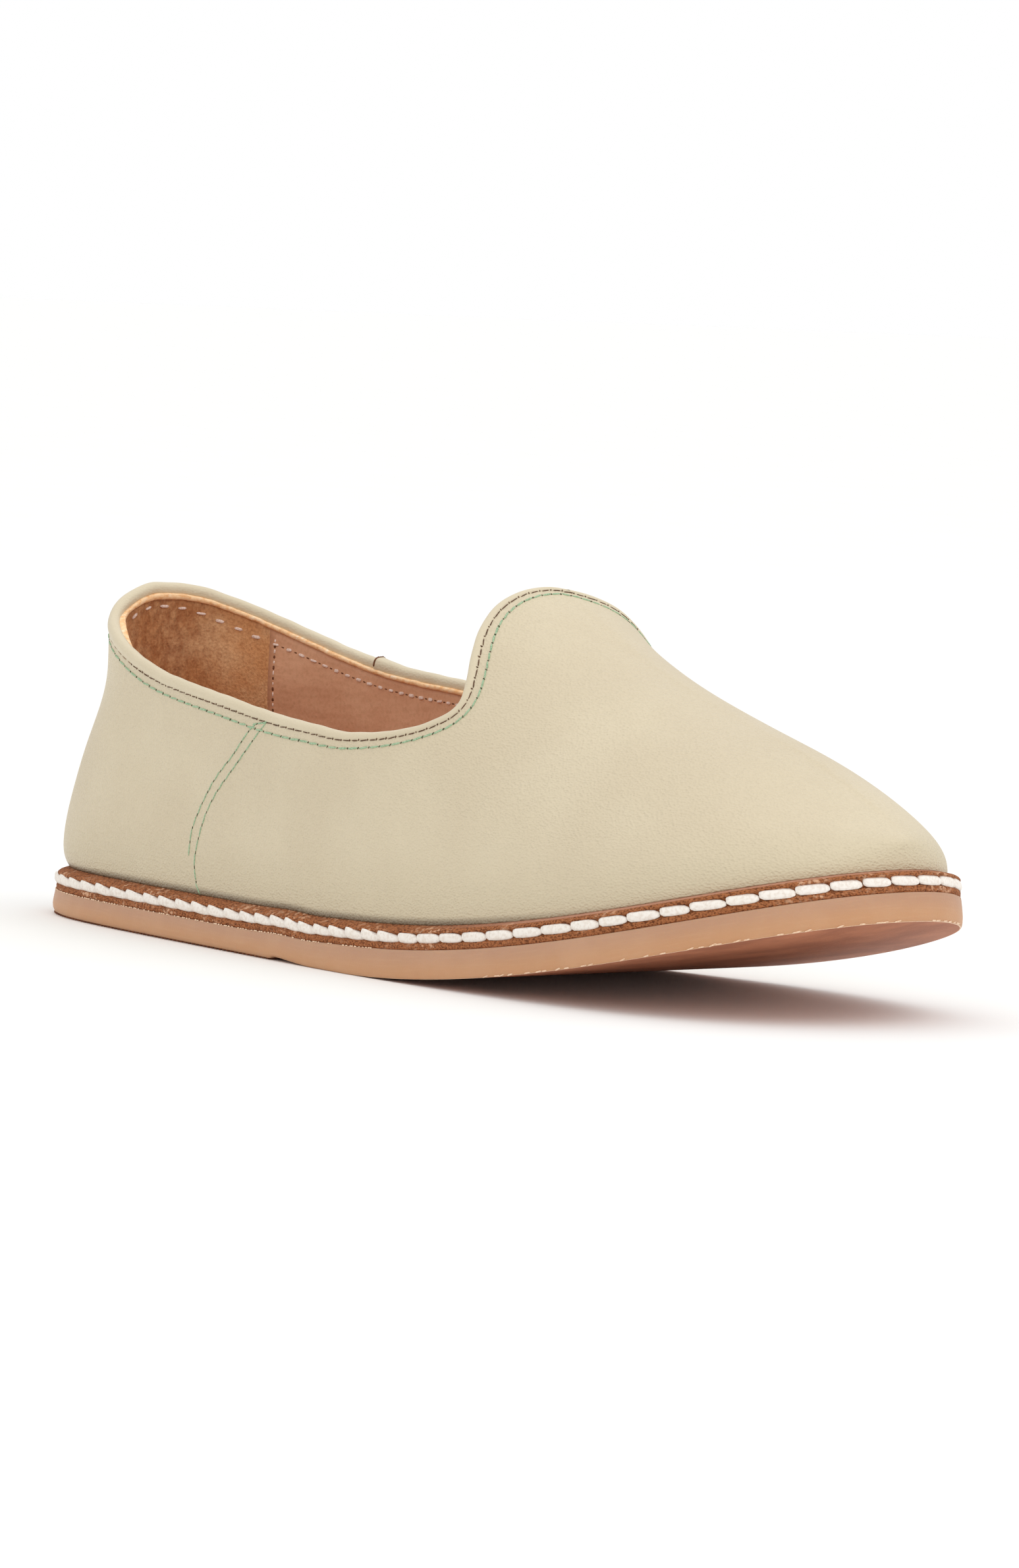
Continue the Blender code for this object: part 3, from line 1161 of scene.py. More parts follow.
@lru_cache
def stitch_tree() -> bpy.types.NodeTree:
    """Geometry nodes that set one form on every point, along and facing the point's own directions.

    Returns:
        The one tree that all rows share, with its sizes as named inputs in metres.
    """
    tree = bpy.data.node_groups.new("stitch_row", "GeometryNodeTree")
    sockets = {"Geometry": "Geometry", "Form": "Object", "Material": "Material", "Length": "Float",
               "Width": "Float", "Height": "Float", "Tilt": "Float", "Uneven": "Float", "Seed": "Int"}
    for name, kind in sockets.items():
        tree.interface.new_socket(name, in_out="INPUT", socket_type="NodeSocket" + kind)
    tree.interface.new_socket("Geometry", in_out="OUTPUT", socket_type="NodeSocketGeometry")

    def node(kind: str, inputs: dict, output: int | str = 0, **settings: str) -> bpy.types.NodeSocket:
        """Add a node and give one of its outputs."""
        return add_node(tree, kind, settings, inputs).outputs[output]

    def math_node(operation: str, *values: Value) -> bpy.types.NodeSocket:
        """Add a sum, product or the like of some values."""
        return node("ShaderNodeMath", dict(enumerate(values)), operation=operation)

    into = add_node(tree, "NodeGroupInput").outputs
    along, facing, stretch = (
        node("GeometryNodeInputNamedAttribute", {"Name": name}, data_type=kind)
        for name, kind in (("along", "FLOAT_VECTOR"), ("facing", "FLOAT_VECTOR"), ("stretch", "FLOAT")))
    turn = node("FunctionNodeAxesToRotation", {0: facing, 1: along}, primary_axis="Z", secondary_axis="X")
    low = math_node("MULTIPLY", into["Uneven"], -1.0)
    shakes = []
    for offset in STITCH_SEEDS:
        seed = math_node("ADD", into["Seed"], offset)
        shakes.append(node("FunctionNodeRandomValue", {"Min": low, "Max": into["Uneven"], "Seed": seed}, 1,
                           data_type="FLOAT"))
    swing = math_node("MULTIPLY_ADD", shakes[0], STITCH_SWING, into["Tilt"])
    swing = node("FunctionNodeEulerToRotation", {0: node("ShaderNodeCombineXYZ", {2: swing})})
    turn = node("FunctionNodeRotateRotation", {0: turn, 1: swing}, rotation_space="LOCAL")
    sizes = [math_node("MULTIPLY", into[name], math_node("ADD", shakes[shake], 1.0))
             for name, shake in (("Length", 1), ("Width", 2), ("Height", 1))]
    sizes[0] = math_node("MULTIPLY", sizes[0], stretch)
    scale = node("ShaderNodeCombineXYZ", dict(enumerate(sizes)))
    form = node("GeometryNodeObjectInfo", {"Object": into["Form"]}, "Geometry")
    points = node("GeometryNodeMeshToPoints", {"Mesh": into["Geometry"]})
    spread = node("GeometryNodeInstanceOnPoints",
                  {"Points": points, "Instance": form, "Rotation": turn, "Scale": scale})
    real = node("GeometryNodeRealizeInstances", {"Geometry": spread})
    smooth = node("GeometryNodeSetShadeSmooth", {"Geometry": real})
    dressed = node("GeometryNodeSetMaterial", {"Geometry": smooth, "Material": into["Material"]})
    add_node(tree, "NodeGroupOutput", None, {0: dressed})
    return tree


@dataclass
class Path:
    """Line on a surface with its directions."""

    points: Array
    facing: Array
    feel: float = 0.4

    @classmethod
    def on(cls, points: Array, tree: BVHTree, flip: float = 1.0) -> "Path":
        """Line laid on the nearest surface.

        Args:
            points: Points near the surface.
            tree: Search tree of the surface.
            flip: -1 turns the facing round.

        Returns:
            The line on the surface.
        """
        hits = [tree.find_nearest(Vector(p)) for p in points]
        spots, facing = (np.array([tuple(hit[k]) for hit in hits]) for k in range(2))
        return cls(spots, flip * facing)

    def lengths(self) -> Array:
        """Distance along the line at each point."""
        return distances(self.points)

    def sample(self, where: Array) -> tuple[Array, Array, Array]:
        """Read the line at some distances along it.

        Args:
            where: The distances.

        Returns:
            Points, directions along the line and facings.
        """
        run = self.lengths()

        def read(values: Array, at: Array) -> Array:
            """Values at some distances along the line."""
            return np.stack([np.interp(at, run, values[:, k]) for k in range(3)], axis=1)

        along = read(self.points, where + self.feel) - read(self.points, where - self.feel)
        return read(self.points, where), unit(along), unit(read(self.facing, where))


@dataclass
class StitchRow:
    """One row of equal stitches, holes or ribs on a path."""

    name: str
    slot: str
    material: bpy.types.Material
    length: float
    width: float
    height: float
    lift: float = 0.0
    tilt: float = 0.0
    uneven: float = 0.08
    seed: int = 1
    shape: Shape = Shape.DASH

    def build(self, path: Path, where: Array, stretch: Array | float = 1.0) -> None:
        """Set the stitches on a path.

        Args:
            path: Line that they follow.
            where: Distances of their middles along it.
            stretch: Factor on each one's length.
        """
        self.place(*path.sample(np.asarray(where, float)), stretch)

    def place(self, spots: Array, along: Array, facing: Array, stretch: Array | float = 1.0) -> None:
        """Set the stitches at given spots.

        Args:
            spots: Their middles.
            along: Directions of their length.
            facing: Directions away from the surface.
            stretch: Factor on each one's length.
        """
        mesh = bpy.data.meshes.new(self.name + "_points")
        mesh.from_pydata(((spots + facing * self.lift - MIDDLE) * MM).tolist(), [], [])
        for label, values in (("along", along), ("facing", facing)):
            made = mesh.attributes.new(label, "FLOAT_VECTOR", "POINT")
            made.data.foreach_set("vector", values.astype(np.float32).ravel())
        lengths = np.ascontiguousarray(np.broadcast_to(np.asarray(stretch, np.float32), len(spots)))
        mesh.attributes.new("stretch", "FLOAT", "POINT").data.foreach_set("value", lengths)
        source = add_object(self.name + "_points", mesh)
        form = stitch_form(self.shape)
        row = source.modifiers.new("row", "NODES")
        row.node_group = stitch_tree()
        values = {"Form": form, "Material": self.material, "Length": self.length * MM,
                  "Width": self.width * MM, "Height": self.height * MM, "Tilt": math.radians(self.tilt),
                  "Uneven": self.uneven, "Seed": self.seed}
        for item in row.node_group.interface.items_tree:
            if item.in_out == "INPUT" and item.name in values:
                row[item.identifier] = values[item.name]
        ready = source.evaluated_get(bpy.context.evaluated_depsgraph_get())
        result = bpy.data.meshes.new_from_object(ready)
        source.modifiers.remove(row)
        bpy.data.objects.remove(source)
        bpy.data.objects.remove(form)
        result.name = self.name
        settle(add_object(self.name, result), self.slot)


def even(path: Path, pitch: float | Array, phase: float = 0.5) -> Array:
    """Distances along a path, one pitch apart.

    Args:
        path: The line.
        pitch: Spacing, one value or one for each point of the line.
        phase: Share of a pitch before the first.

    Returns:
        Distances from its start.
    """
    run = path.lengths()
    pitch = np.broadcast_to(np.asarray(pitch, float), run.shape)
    steps = np.diff(run) * 2.0 / (pitch[1:] + pitch[:-1])
    beats = np.concatenate([[0.0], np.cumsum(steps)])
    count = max(1, int(round(beats[-1])))
    return np.interp((np.arange(count) + phase) / count, beats / beats[-1], run)


CREASES = (
    Crease(Side.OUTER, 0.399, 0.104, 0.507, 0.162, 11.0, -0.35),
    Crease(Side.OUTER, 0.591, 0.356, 0.657, 0.716, 10.0, -0.28),
    Crease(Side.OUTER, 0.593, 0.571, 0.661, 0.924, 10.0, 0.20),
    Crease(Side.OUTER, 0.676, 0.343, 0.762, 0.435, 10.0, -0.28),
    Crease(Side.OUTER, 0.768, 0.334, 0.856, 0.501, 9.0, 0.30),
    Crease(Side.INNER, 0.590, 0.350, 0.650, 0.600, 10.0, -0.30),
)


# Height of binding seen above its seam, at even steps from the heel to the tongue tip
COVER = (3.2, 3.1, 2.8, 2.6, 2.5, 2.3, 1.9, 1.8, 2.2, 2.1, 1.3)
# Distance of the green row below the brown one, at the same steps
GREEN_DROP = (1.4, 1.4, 1.6, 2.0, 2.1, 2.15, 1.75, 1.7, 2.2, 2.1, 1.5)


@dataclass
class Upper:
    """The leather upper: one closed skin from the welt to under the binding."""

    columns: int = 300
    rows: int = 56
    thickness: float = 1.1
    unevenness: float = 0.07
    plain_foot: float = 6.0
    crest: float = 3.05
    tuck: float = 0.35

    def cover(self, place: Array) -> Array:
        """Height of binding seen above its seam, round the collar from the heel to the tongue."""
        return curve(COVER, np.abs(place))

    def relief(self, points: Array) -> Array:
        """Listed creases and slight unevenness of the leather.

        Args:
            points: Points of the plain skin.

        Returns:
            How far each point moves outwards.
        """
        x, y, z = points.T
        total = self.unevenness * ripple(x + 0.6 * z, waves=(31.0, 47.0, 73.0), seed=5)
        total = total + 0.6 * self.unevenness * ripple(z * 1.4 - 0.3 * x + y, waves=(23.0, 41.0), seed=6)
        for crease in CREASES:
            share = np.linspace(0.0, 1.0, 24)
            line = LAST.surface(crease.start_at + (crease.end_at - crease.start_at) * share,
                                crease.start_up + (crease.end_up - crease.start_up) * share, crease.side)
            fade = np.sin(math.pi * (0.08 + 0.84 * share))
            push = np.zeros(len(points))
            for spot, weight in zip(line, fade):
                reach = ((points - spot) ** 2).sum(axis=1) / crease.width ** 2
                push = np.maximum(push, weight * np.exp(-reach * 2.0))
            total = total + crease.depth * push
        return total

    def build(self, rim: RimPath) -> tuple[Sheet, Sheet]:
        """Shape the skin.

        Args:
            rim: Path with one step for each rim vertex of the skin.

        Returns:
            The outer face, and the closed skin.
        """
        sheet = upper_sheet(0.0, 2.0, self.columns, self.rows)
        normal = sheet.normals()
        fade = ease(sheet.rise / self.plain_foot)
        rim_points = sheet.points[sheet.rim]
        along = unit(np.roll(rim_points, -1, axis=0) - np.roll(rim_points, 1, axis=0))
        above = unit(np.cross(normal[sheet.rim], along))
        sheet.points = sheet.points + normal * (self.relief(sheet.points) * fade)[:, None]
        length = self.crest - self.cover(self.rim_place(sheet, rim)) + self.tuck
        loop = sheet.rim
        for share in (0.5, 1.0):
            start = len(sheet.points)
            step = sheet.points[sheet.rim] + above * (length * share)[:, None]
            fresh = list(range(start, start + len(step)))
            for i in range(len(loop)):
                j = (i + 1) % len(loop)
                sheet.faces.append((loop[i], loop[j], fresh[j], fresh[i]))
            sheet.points = np.concatenate([sheet.points, step])
            sheet.rise = np.concatenate([sheet.rise, sheet.rise[sheet.rim] + length * share])
            sheet.run = np.concatenate([sheet.run, sheet.run[sheet.rim]])
            loop = fresh
        normal = sheet.normals()
        return sheet, sheet.thick(sheet.points, sheet.points - normal * self.thickness)

    @staticmethod
    def rim_place(sheet: Sheet, rim: RimPath) -> Array:
        """Place round the collar of each rim vertex."""
        nearest = [np.argmin(((rim.points - sheet.points[v]) ** 2).sum(axis=1)) for v in sheet.rim]
        return rim.place[nearest]


BEAD = (
    Bead(0.90, 1.00),
    Bead(1.28, 0.72),
    Bead(1.22, 0.36),
    Bead(0.72, 0.08),
    Bead(-0.05, 0.00),
    Bead(-0.80, 0.14),
    Bead(-1.18, 0.45),
    Bead(-1.22, 0.85),
    Bead(-0.90, 1.10),
    Bead(0.20, 1.10),
)


@dataclass
class Binding:
    """Rolled strip of the upper's leather round the collar."""

    inner_drop: float = 2.1
    wave: float = 0.09
    belly_wave: float = 0.05
    heel_part: float = 0.16
    heel_crest: float = 0.5
    belly_part: float = 0.2
    belly_full: float = 1.4
    heel_belly: float = 0.15
    inner_from: float = 4.0
    inner_to: float = 9.4
    joint_place: float = -0.365
    joint_step: float = 0.55
    joint_fall: float = 0.022
    joint_pitch: float = 0.55
    smoothing: int = 3

    def build(self, rim: RimPath, upper: Upper) -> Sheet:
        """Sweep the strip round the rim.

        Args:
            rim: The collar's edge.
            upper: The upper it covers.

        Returns:
            The closed strip.
        """
        cover = upper.cover(rim.place)
        crest = upper.crest + self.wave * rim.wave(waves=(7.3, 11.9, 18.7), seed=3)
        crest = crest + self.heel_crest * ease(1.0 - np.abs(rim.place) / self.heel_part)
        belly = 1.0 + self.belly_wave * rim.wave(waves=(9.1, 14.3, 23.0), seed=4)
        belly = belly + self.heel_belly * ease(self.belly_full - np.abs(rim.place) / self.belly_part)
        past = self.joint_place - rim.place
        lap = self.joint_step * np.exp(-past / self.joint_fall) * (past >= 0.0)
        outs, drops = np.array(column(BEAD, "out")), np.array(column(BEAD, "drop"))
        rings, rises = [], []
        count = len(BEAD) * self.smoothing
        for k in range(count):
            spot = k / self.smoothing
            out, drop = self.between(outs, spot), self.between(drops, spot)
            inner = self.inner_from <= spot <= self.inner_to
            height = np.full_like(cover, self.inner_drop) if inner else cover
            away = out * belly + np.sign(out) * lap
            rings.append(rim.at(away, crest + lap * (1.0 - drop) - drop * height))
            rises.append(float(k))
        return sweep(rings[::-1], rises, rim.run, True)

    def joint(self, rim: RimPath, strip: Sheet) -> None:
        """Dark marks across the strip's end where it laps over its own start: painted shadow of the step.

        Args:
            rim: The collar's edge.
            strip: The closed strip.
        """
        past = self.joint_place - rim.place
        end = int(np.argmin(np.where(past >= 0.0, past, 9.0)))
        ring = strip.points.reshape(-1, len(rim.run), 3)[::-1, end]
        line = ring[self.smoothing:7 * self.smoothing]
        path = Path(line, unit(line - ring.mean(axis=0)))
        # Small dark marks on the crest: painted shadow at the lapped step
        row = StitchRow("binding_joint", "brown_thread", LINING_HOLE_SHADE.make(), length=0.8, width=0.5,
                        height=0.26)
        row.build(path, even(path, self.joint_pitch))

    @staticmethod
    def between(values: Array, spot: float) -> float:
        """Smooth closed curve through the profile's values.

        Args:
            values: Values at whole steps.
            spot: Step at which to read it.

        Returns:
            The value there.
        """
        count = len(values)
        i = int(math.floor(spot))
        t = spot - i
        a, b, c, d = (values[(i + k) % count] for k in (-1, 0, 1, 2))
        bend = 2.0 * a - 5.0 * b + 4.0 * c - d + t * (3.0 * (b - c) + d - a)
        return float(b + 0.5 * t * (c - a + t * bend))


class EdgePoint(NamedTuple):
    """Point of the raw edge's profile: outwards from mid wall, and drop below its top."""

    out: float
    drop: float


EDGE_SIDE = (
    EdgePoint(-0.15, 1.2),
    EdgePoint(-0.20, 0.3),
    EdgePoint(-0.65, 0.0),
    EdgePoint(-1.60, 0.05),
    EdgePoint(-1.90, 0.25),
    EdgePoint(-1.85, 0.75),
    EdgePoint(-1.55, 1.1),
    EdgePoint(-0.7, 1.3),
)


@dataclass
class Lining:
    """Suede heel lining, smooth front lining and their raw top edge.

    The edge stands up as a lip at one spot of the heel, and follows the binding's raised crest behind it.
    """

    seam: float = 0.215
    heel_grid: tuple[int, int] = (90, 40)
    front_grid: tuple[int, int] = (150, 30)
    sway: float = 0.067
    outer_offset: float = 1.25
    inner_offset: float = 1.9
    edge_top: float = 1.0
    edge_wave: float = 0.1
    lip_spot: float = 0.17
    lip_part: float = 0.085
    lip_stand: float = 0.7
    lip_lift: float = 1.5
    lip_from: float = -1.0
    lift_depth: float = 0.5
    back_part: float = 0.16
    back_lift: float = 0.4

    def wall(self, first: float, last: float, columns: int, rows: int) -> tuple[Sheet, Sheet]:
        """Part of the lining between two places round the collar.

        Args:
            first: Place where it starts.
            last: Place where it ends.
            columns: Columns on each side.
            rows: Rows up.

        Returns:
            The face seen from inside, and the closed wall.
        """
        sheet = upper_sheet(first, last, columns, rows, self.lean)
        normal = sheet.normals()
        seen = sheet.points - normal * self.inner_offset
        inner = Sheet(seen, sheet.faces, sheet.rise, sheet.run, sheet.rim)
        return inner, sheet.thick(sheet.points - normal * self.outer_offset, seen)

    def lean(self, place: Array) -> Array:
        """Forward shift of the lining's foot, so that the seam between its parts stands upright."""
        return self.sway * np.interp(place, (0.0, self.seam, 1.0), (0.0, 1.0, 0.0))

    def edge(self, rim: RimPath) -> Sheet:
        """Raw cut edge of the lining, just inside the binding.

        Args:
            rim: The collar's edge.

        Returns:
            The closed strip.
        """
        wave = self.edge_wave * rim.wave(waves=(4.1, 6.7, 10.7, 17.0), seed=9)
        lip = ease(1.0 - np.abs(rim.place - self.lip_spot) / self.lip_part)
        lift = self.lip_lift * lip + self.back_lift * ease(1.0 - np.abs(rim.place) / self.back_part)
        rings = []
        for point in EDGE_SIDE:
            inward = self.lip_stand * lip * (point.out < self.lip_from)
            above = self.edge_top - point.drop + wave + lift * (point.drop < self.lift_depth)
            rings.append(rim.at(point.out - inward, above))
        return sweep(rings[::-1], [float(k) for k in range(len(EDGE_SIDE))], rim.run, True)


RUBBER_SIDE = (
    Step(0.55, 0.0, 1.0, 1.2),
    Step(0.3, 0.06, 1.0, 0.75),
    Step(0.14, 0.3, 0.8, 0.4),
    Step(0.04, 1.0, 0.3, 0.1),
    Step(0.04, 2.0),
    Step(0.1, 2.8),
    Step(0.22, 3.8),
    Step(0.36, 4.8),
    Step(0.46, 5.5),
    Step(0.55, 5.95),
    Step(0.8, 6.1),
)
WELT_SIDE = (
    Step(0.85, -0.28),
    Step(0.72, 0.05),
    Step(0.7, 0.6),
    Step(0.8, 1.0),
    Step(1.35, 1.25),
    Step(1.6, 2.2),
    Step(1.4, 3.05),
    Step(0.85, 3.25),
    Step(0.95, 3.6),
    Step(1.35, 3.95),
    Step(2.2, 4.3),
    Step(3.2, 4.55),
    Step(3.7, 4.8),
    Step(4.4, 4.85),
)
INSOLE_SIDE = (
    Step(6.3, 0.0),
    Step(5.9, 0.5),
    Step(5.9, 1.6),
    Step(6.1, 2.2),
    Step(6.8, 2.6),
)


class Speck(NamedTuple):
    """Row of small marks along the rubber: where it runs on each side, and the sizes of one mark."""

    name: str
    outer_from: float
    inner_from: float
    to: float
    inset: float
    rise: float
    pitch: float
    length: float
    width: float
    height: float
    tilt: float
    seed: int


SPECKS = (
    Speck("cement_crumbs", 3.0, 3.0, 150.0, 0.6, 6.1, 1.1, 0.6, 0.3, 0.3, 0.0, 11),
    # Pale nicks along the front's bottom edge: painted highlights on the moulded teeth
    Speck("moulding_nicks", 185.0, 254.0, 261.9, 0.12, 0.16, 2.5, 1.6, 0.3, 0.3, 8.0, 12),
)


# Point that the sole's unevenness is measured towards, and wave lengths of a hand-cut edge
SOLE_CENTRE = np.array([LAST.length * 0.5, 2.0, 0.0])
LEVEL = np.array([1.0, 1.0, 0.0])
HAND_CUT = (2.1, 3.7, 6.3, 11.0)


@dataclass
class Sole:
    """Rubber outsole, stitched welt and insole."""

    stations: int = 260
    rubber_rough: float = 0.02
    welt_rough: float = 0.10
    pad: float = 0.5
    rib_from: float = 4.0
    rib_pitch: float = 1.6
    rib_width: float = 1.0
    rib_inset: float = 0.3
    rib_sink: float = 0.1
    # Distance ahead of the middle from which the bottom edge carries a painted highlight
    rim_from: float = 10.0
    speck_shift: float = 0.3
    speck_share: float = 0.8
    groove_rise: float = 2.15
    groove_inset: float = 1.35

    def steps(self) -> Array:
        """Shares along the shoe, even along the outline's own spacing."""
        return np.linspace(0.0, 1.0, self.stations + 1)

    def plate(self, side: Sequence[Step], base: float, sinks: Sequence[float], rough: float,
              seed: int) -> Sheet:
        """Flat piece from its side profile.

        Args:
            side: Profile from the underside to the top.
            base: Height of its underside above the rubber's.
            sinks: Share of the heel's sink for each ring.
            rough: Depth of hand-cut unevenness.
            seed: Picks the unevenness.

        Returns:
            The closed piece.
        """
        steps = self.steps()
        first = LAST.loop(steps, side[0].inset, base)
        run = distances(first)
        total = run[-1] + float(np.linalg.norm(first[0] - first[-1]))
        rings = []
        heel = LAST.heel_share(LAST.distance(steps))
        for k, (step, sink) in enumerate(zip(side, sinks)):
            inset = step.inset + step.tuck * heel
            ring = LAST.loop(steps, inset, base + step.rise, step.drop * self.pad, sink)
            inward = unit(SOLE_CENTRE - ring * LEVEL)
            wave = ripple(run + 3.0 * k, HAND_CUT, seed + k, total)
            rings.append(ring + inward * (rough * wave)[:, None])
        sheet = sweep(rings, column(side, "rise"), run, False)
        cap(sheet, self.stations, len(side))
        return sheet

    def outsole(self) -> Sheet:
        """Rubber with its raised waist behind the forefoot."""
        sinks = [step.rise / LAST.rubber for step in RUBBER_SIDE]
        return self.plate(RUBBER_SIDE, 0.0, sinks, self.rubber_rough, seed=21)

    def tread(self, rubber: bpy.types.Material) -> None:
        """Fine ribs across the heel tread, darker than the rest of the underside as painted shade.

        Args:
            rubber: Material of the ribs.
        """
        x = np.arange(self.rib_from, LAST.pad_end - 0.5, self.rib_pitch)
        inset = self.rib_inset + RUBBER_SIDE[1].tuck
        outer, inner = (LAST.edge(LAST.station(x), side, inset)[1] for side in Side)
        height = LAST.pad_depth - self.pad + self.rib_sink
        spots = np.stack([x, (outer + inner) / 2.0, np.full_like(x, height / 2.0)], axis=1)
        across, down = np.zeros_like(spots), np.zeros_like(spots)
        across[:, 1], down[:, 2] = 1.0, -1.0
        row = StitchRow("heel_tread", "tread_rubber", rubber, length=1.0, width=self.rib_width, height=height,
                        uneven=0.0, shape=Shape.BAR)
        row.place(spots, across, down, inner - outer)

    def specks(self, pale: bpy.types.Material) -> None:
        """Pale crumbs of cement on the heel's top line, and pale nicks along the front's bottom edge that are
        painted highlights on its moulded teeth.

        Args:
            pale: Material of both.
        """
        for speck in SPECKS:
            for side, first in zip(Side, (speck.outer_from, speck.inner_from)):
                stations = np.linspace(LAST.station(first), LAST.station(speck.to), 400)
                here = np.stack(LAST.edge(stations, side, speck.inset), axis=1)
                inside = np.stack(LAST.edge(stations, side, speck.inset + 1.0), axis=1)
                sink = LAST.heel_sink * LAST.heel_share(here[:, 0]) * (speck.rise > 1.0)
                z = LAST.ground(here[:, 0]) + speck.rise - sink
                out = np.concatenate([unit(here - inside), np.zeros((len(z), 1))], axis=1)
                path = Path(np.column_stack([here, z]), out)
                where = even(path, speck.pitch)
                shake = np.random.default_rng(speck.seed)
                where = where + shake.uniform(-self.speck_shift, self.speck_shift, len(where)) * speck.pitch
                where = where[shake.random(len(where)) < self.speck_share]
                row = StitchRow(f"{speck.name}_{side.name.lower()}", "gum_rubber", pale,
                                length=speck.length, width=speck.width, height=speck.height, tilt=speck.tilt,
                                uneven=0.25, seed=speck.seed)
                row.build(path, where)

    def welt(self) -> Sheet:
        """Leather band with the stitch groove."""
        base = LAST.rubber + LAST.gap
        return self.plate(WELT_SIDE, base, [1.0] * len(WELT_SIDE), self.welt_rough, seed=31)

    def insole(self) -> Sheet:
        """Leather sock on the board."""
        base = LAST.rubber + LAST.welt + 2.0 * LAST.gap
        return self.plate(INSOLE_SIDE, base, [0.0] * len(INSOLE_SIDE), rough=0.0, seed=41)

    def seam_path(self) -> Path:
        """Middle of the stitch groove.

        Returns:
            Closed line round the welt, facing outwards.
        """
        steps = np.linspace(0.0, 1.0, 4 * self.stations + 1)
        height = LAST.rubber + LAST.gap + self.groove_rise
        here = LAST.loop(steps, self.groove_inset, height, sink=1.0)
        inside = LAST.loop(steps, self.groove_inset + 2.0, height, sink=1.0)
        facing = unit(here - inside)
        return Path(np.concatenate([here, here[:1]]), np.concatenate([facing, facing[:1]]))


class Pace(NamedTuple):
    """Length of the welt stitches at a distance from the heel."""

    x: float
    pitch: float


PACES = (
    Pace(0.0, 7.1),
    Pace(80.0, 7.2),
    Pace(100.0, 6.2),
    Pace(120.0, 5.5),
    Pace(140.0, 5.5),
    Pace(158.0, 6.2),
    Pace(172.0, 7.2),
    Pace(195.0, 8.1),
    Pace(215.0, 7.5),
    Pace(262.0, 7.0),
)


@dataclass
class WeltSeam:
    """Heavy waxed stitches round the welt: plump at the toe, slanting and overlapping at the heel."""

    heel_width: float = 2.25
    toe_width: float = 2.2
    heel_length: float = 1.03
    toe_length: float = 0.985
    height: float = 1.35
    change_at: float = 158.0
    look_ahead: float = 3.5
    end_gap: float = 3.0

    def build(self, path: Path) -> None:
        """Lay the stitches out round the shoe and set them.

        Args:
            path: Middle of the groove.
        """
        run = path.lengths()
        rows: dict[Shape, list[tuple[float, float]]] = {Shape.DROP: [], Shape.LOZENGE: []}
        uneven = np.random.default_rng(12)
        where = 0.0
        while where < run[-1] - self.end_gap:
            x = float(np.interp(where + self.look_ahead, run, path.points[:, 0]))
            pitch = float(np.interp(x, column(PACES, "x"), column(PACES, "pitch")))
            pitch = pitch * uneven.uniform(0.94, 1.06)
            shape = Shape.DROP if x < self.change_at else Shape.LOZENGE
            rows[shape].append((where + pitch / 2.0, pitch))
            where += pitch
        material = WAXED.make()
        for name, shape, length, width in (
                ("heel_welt_stitches", Shape.DROP, self.heel_length, self.heel_width),
                ("welt_stitches", Shape.LOZENGE, self.toe_length, self.toe_width)):
            spots = np.array(rows[shape])
            row = StitchRow(name, "welt_thread", material, length, width, self.height, lift=0.1, uneven=0.05,
                            seed=5, shape=shape)
            row.build(path, spots[:, 0], spots[:, 1])


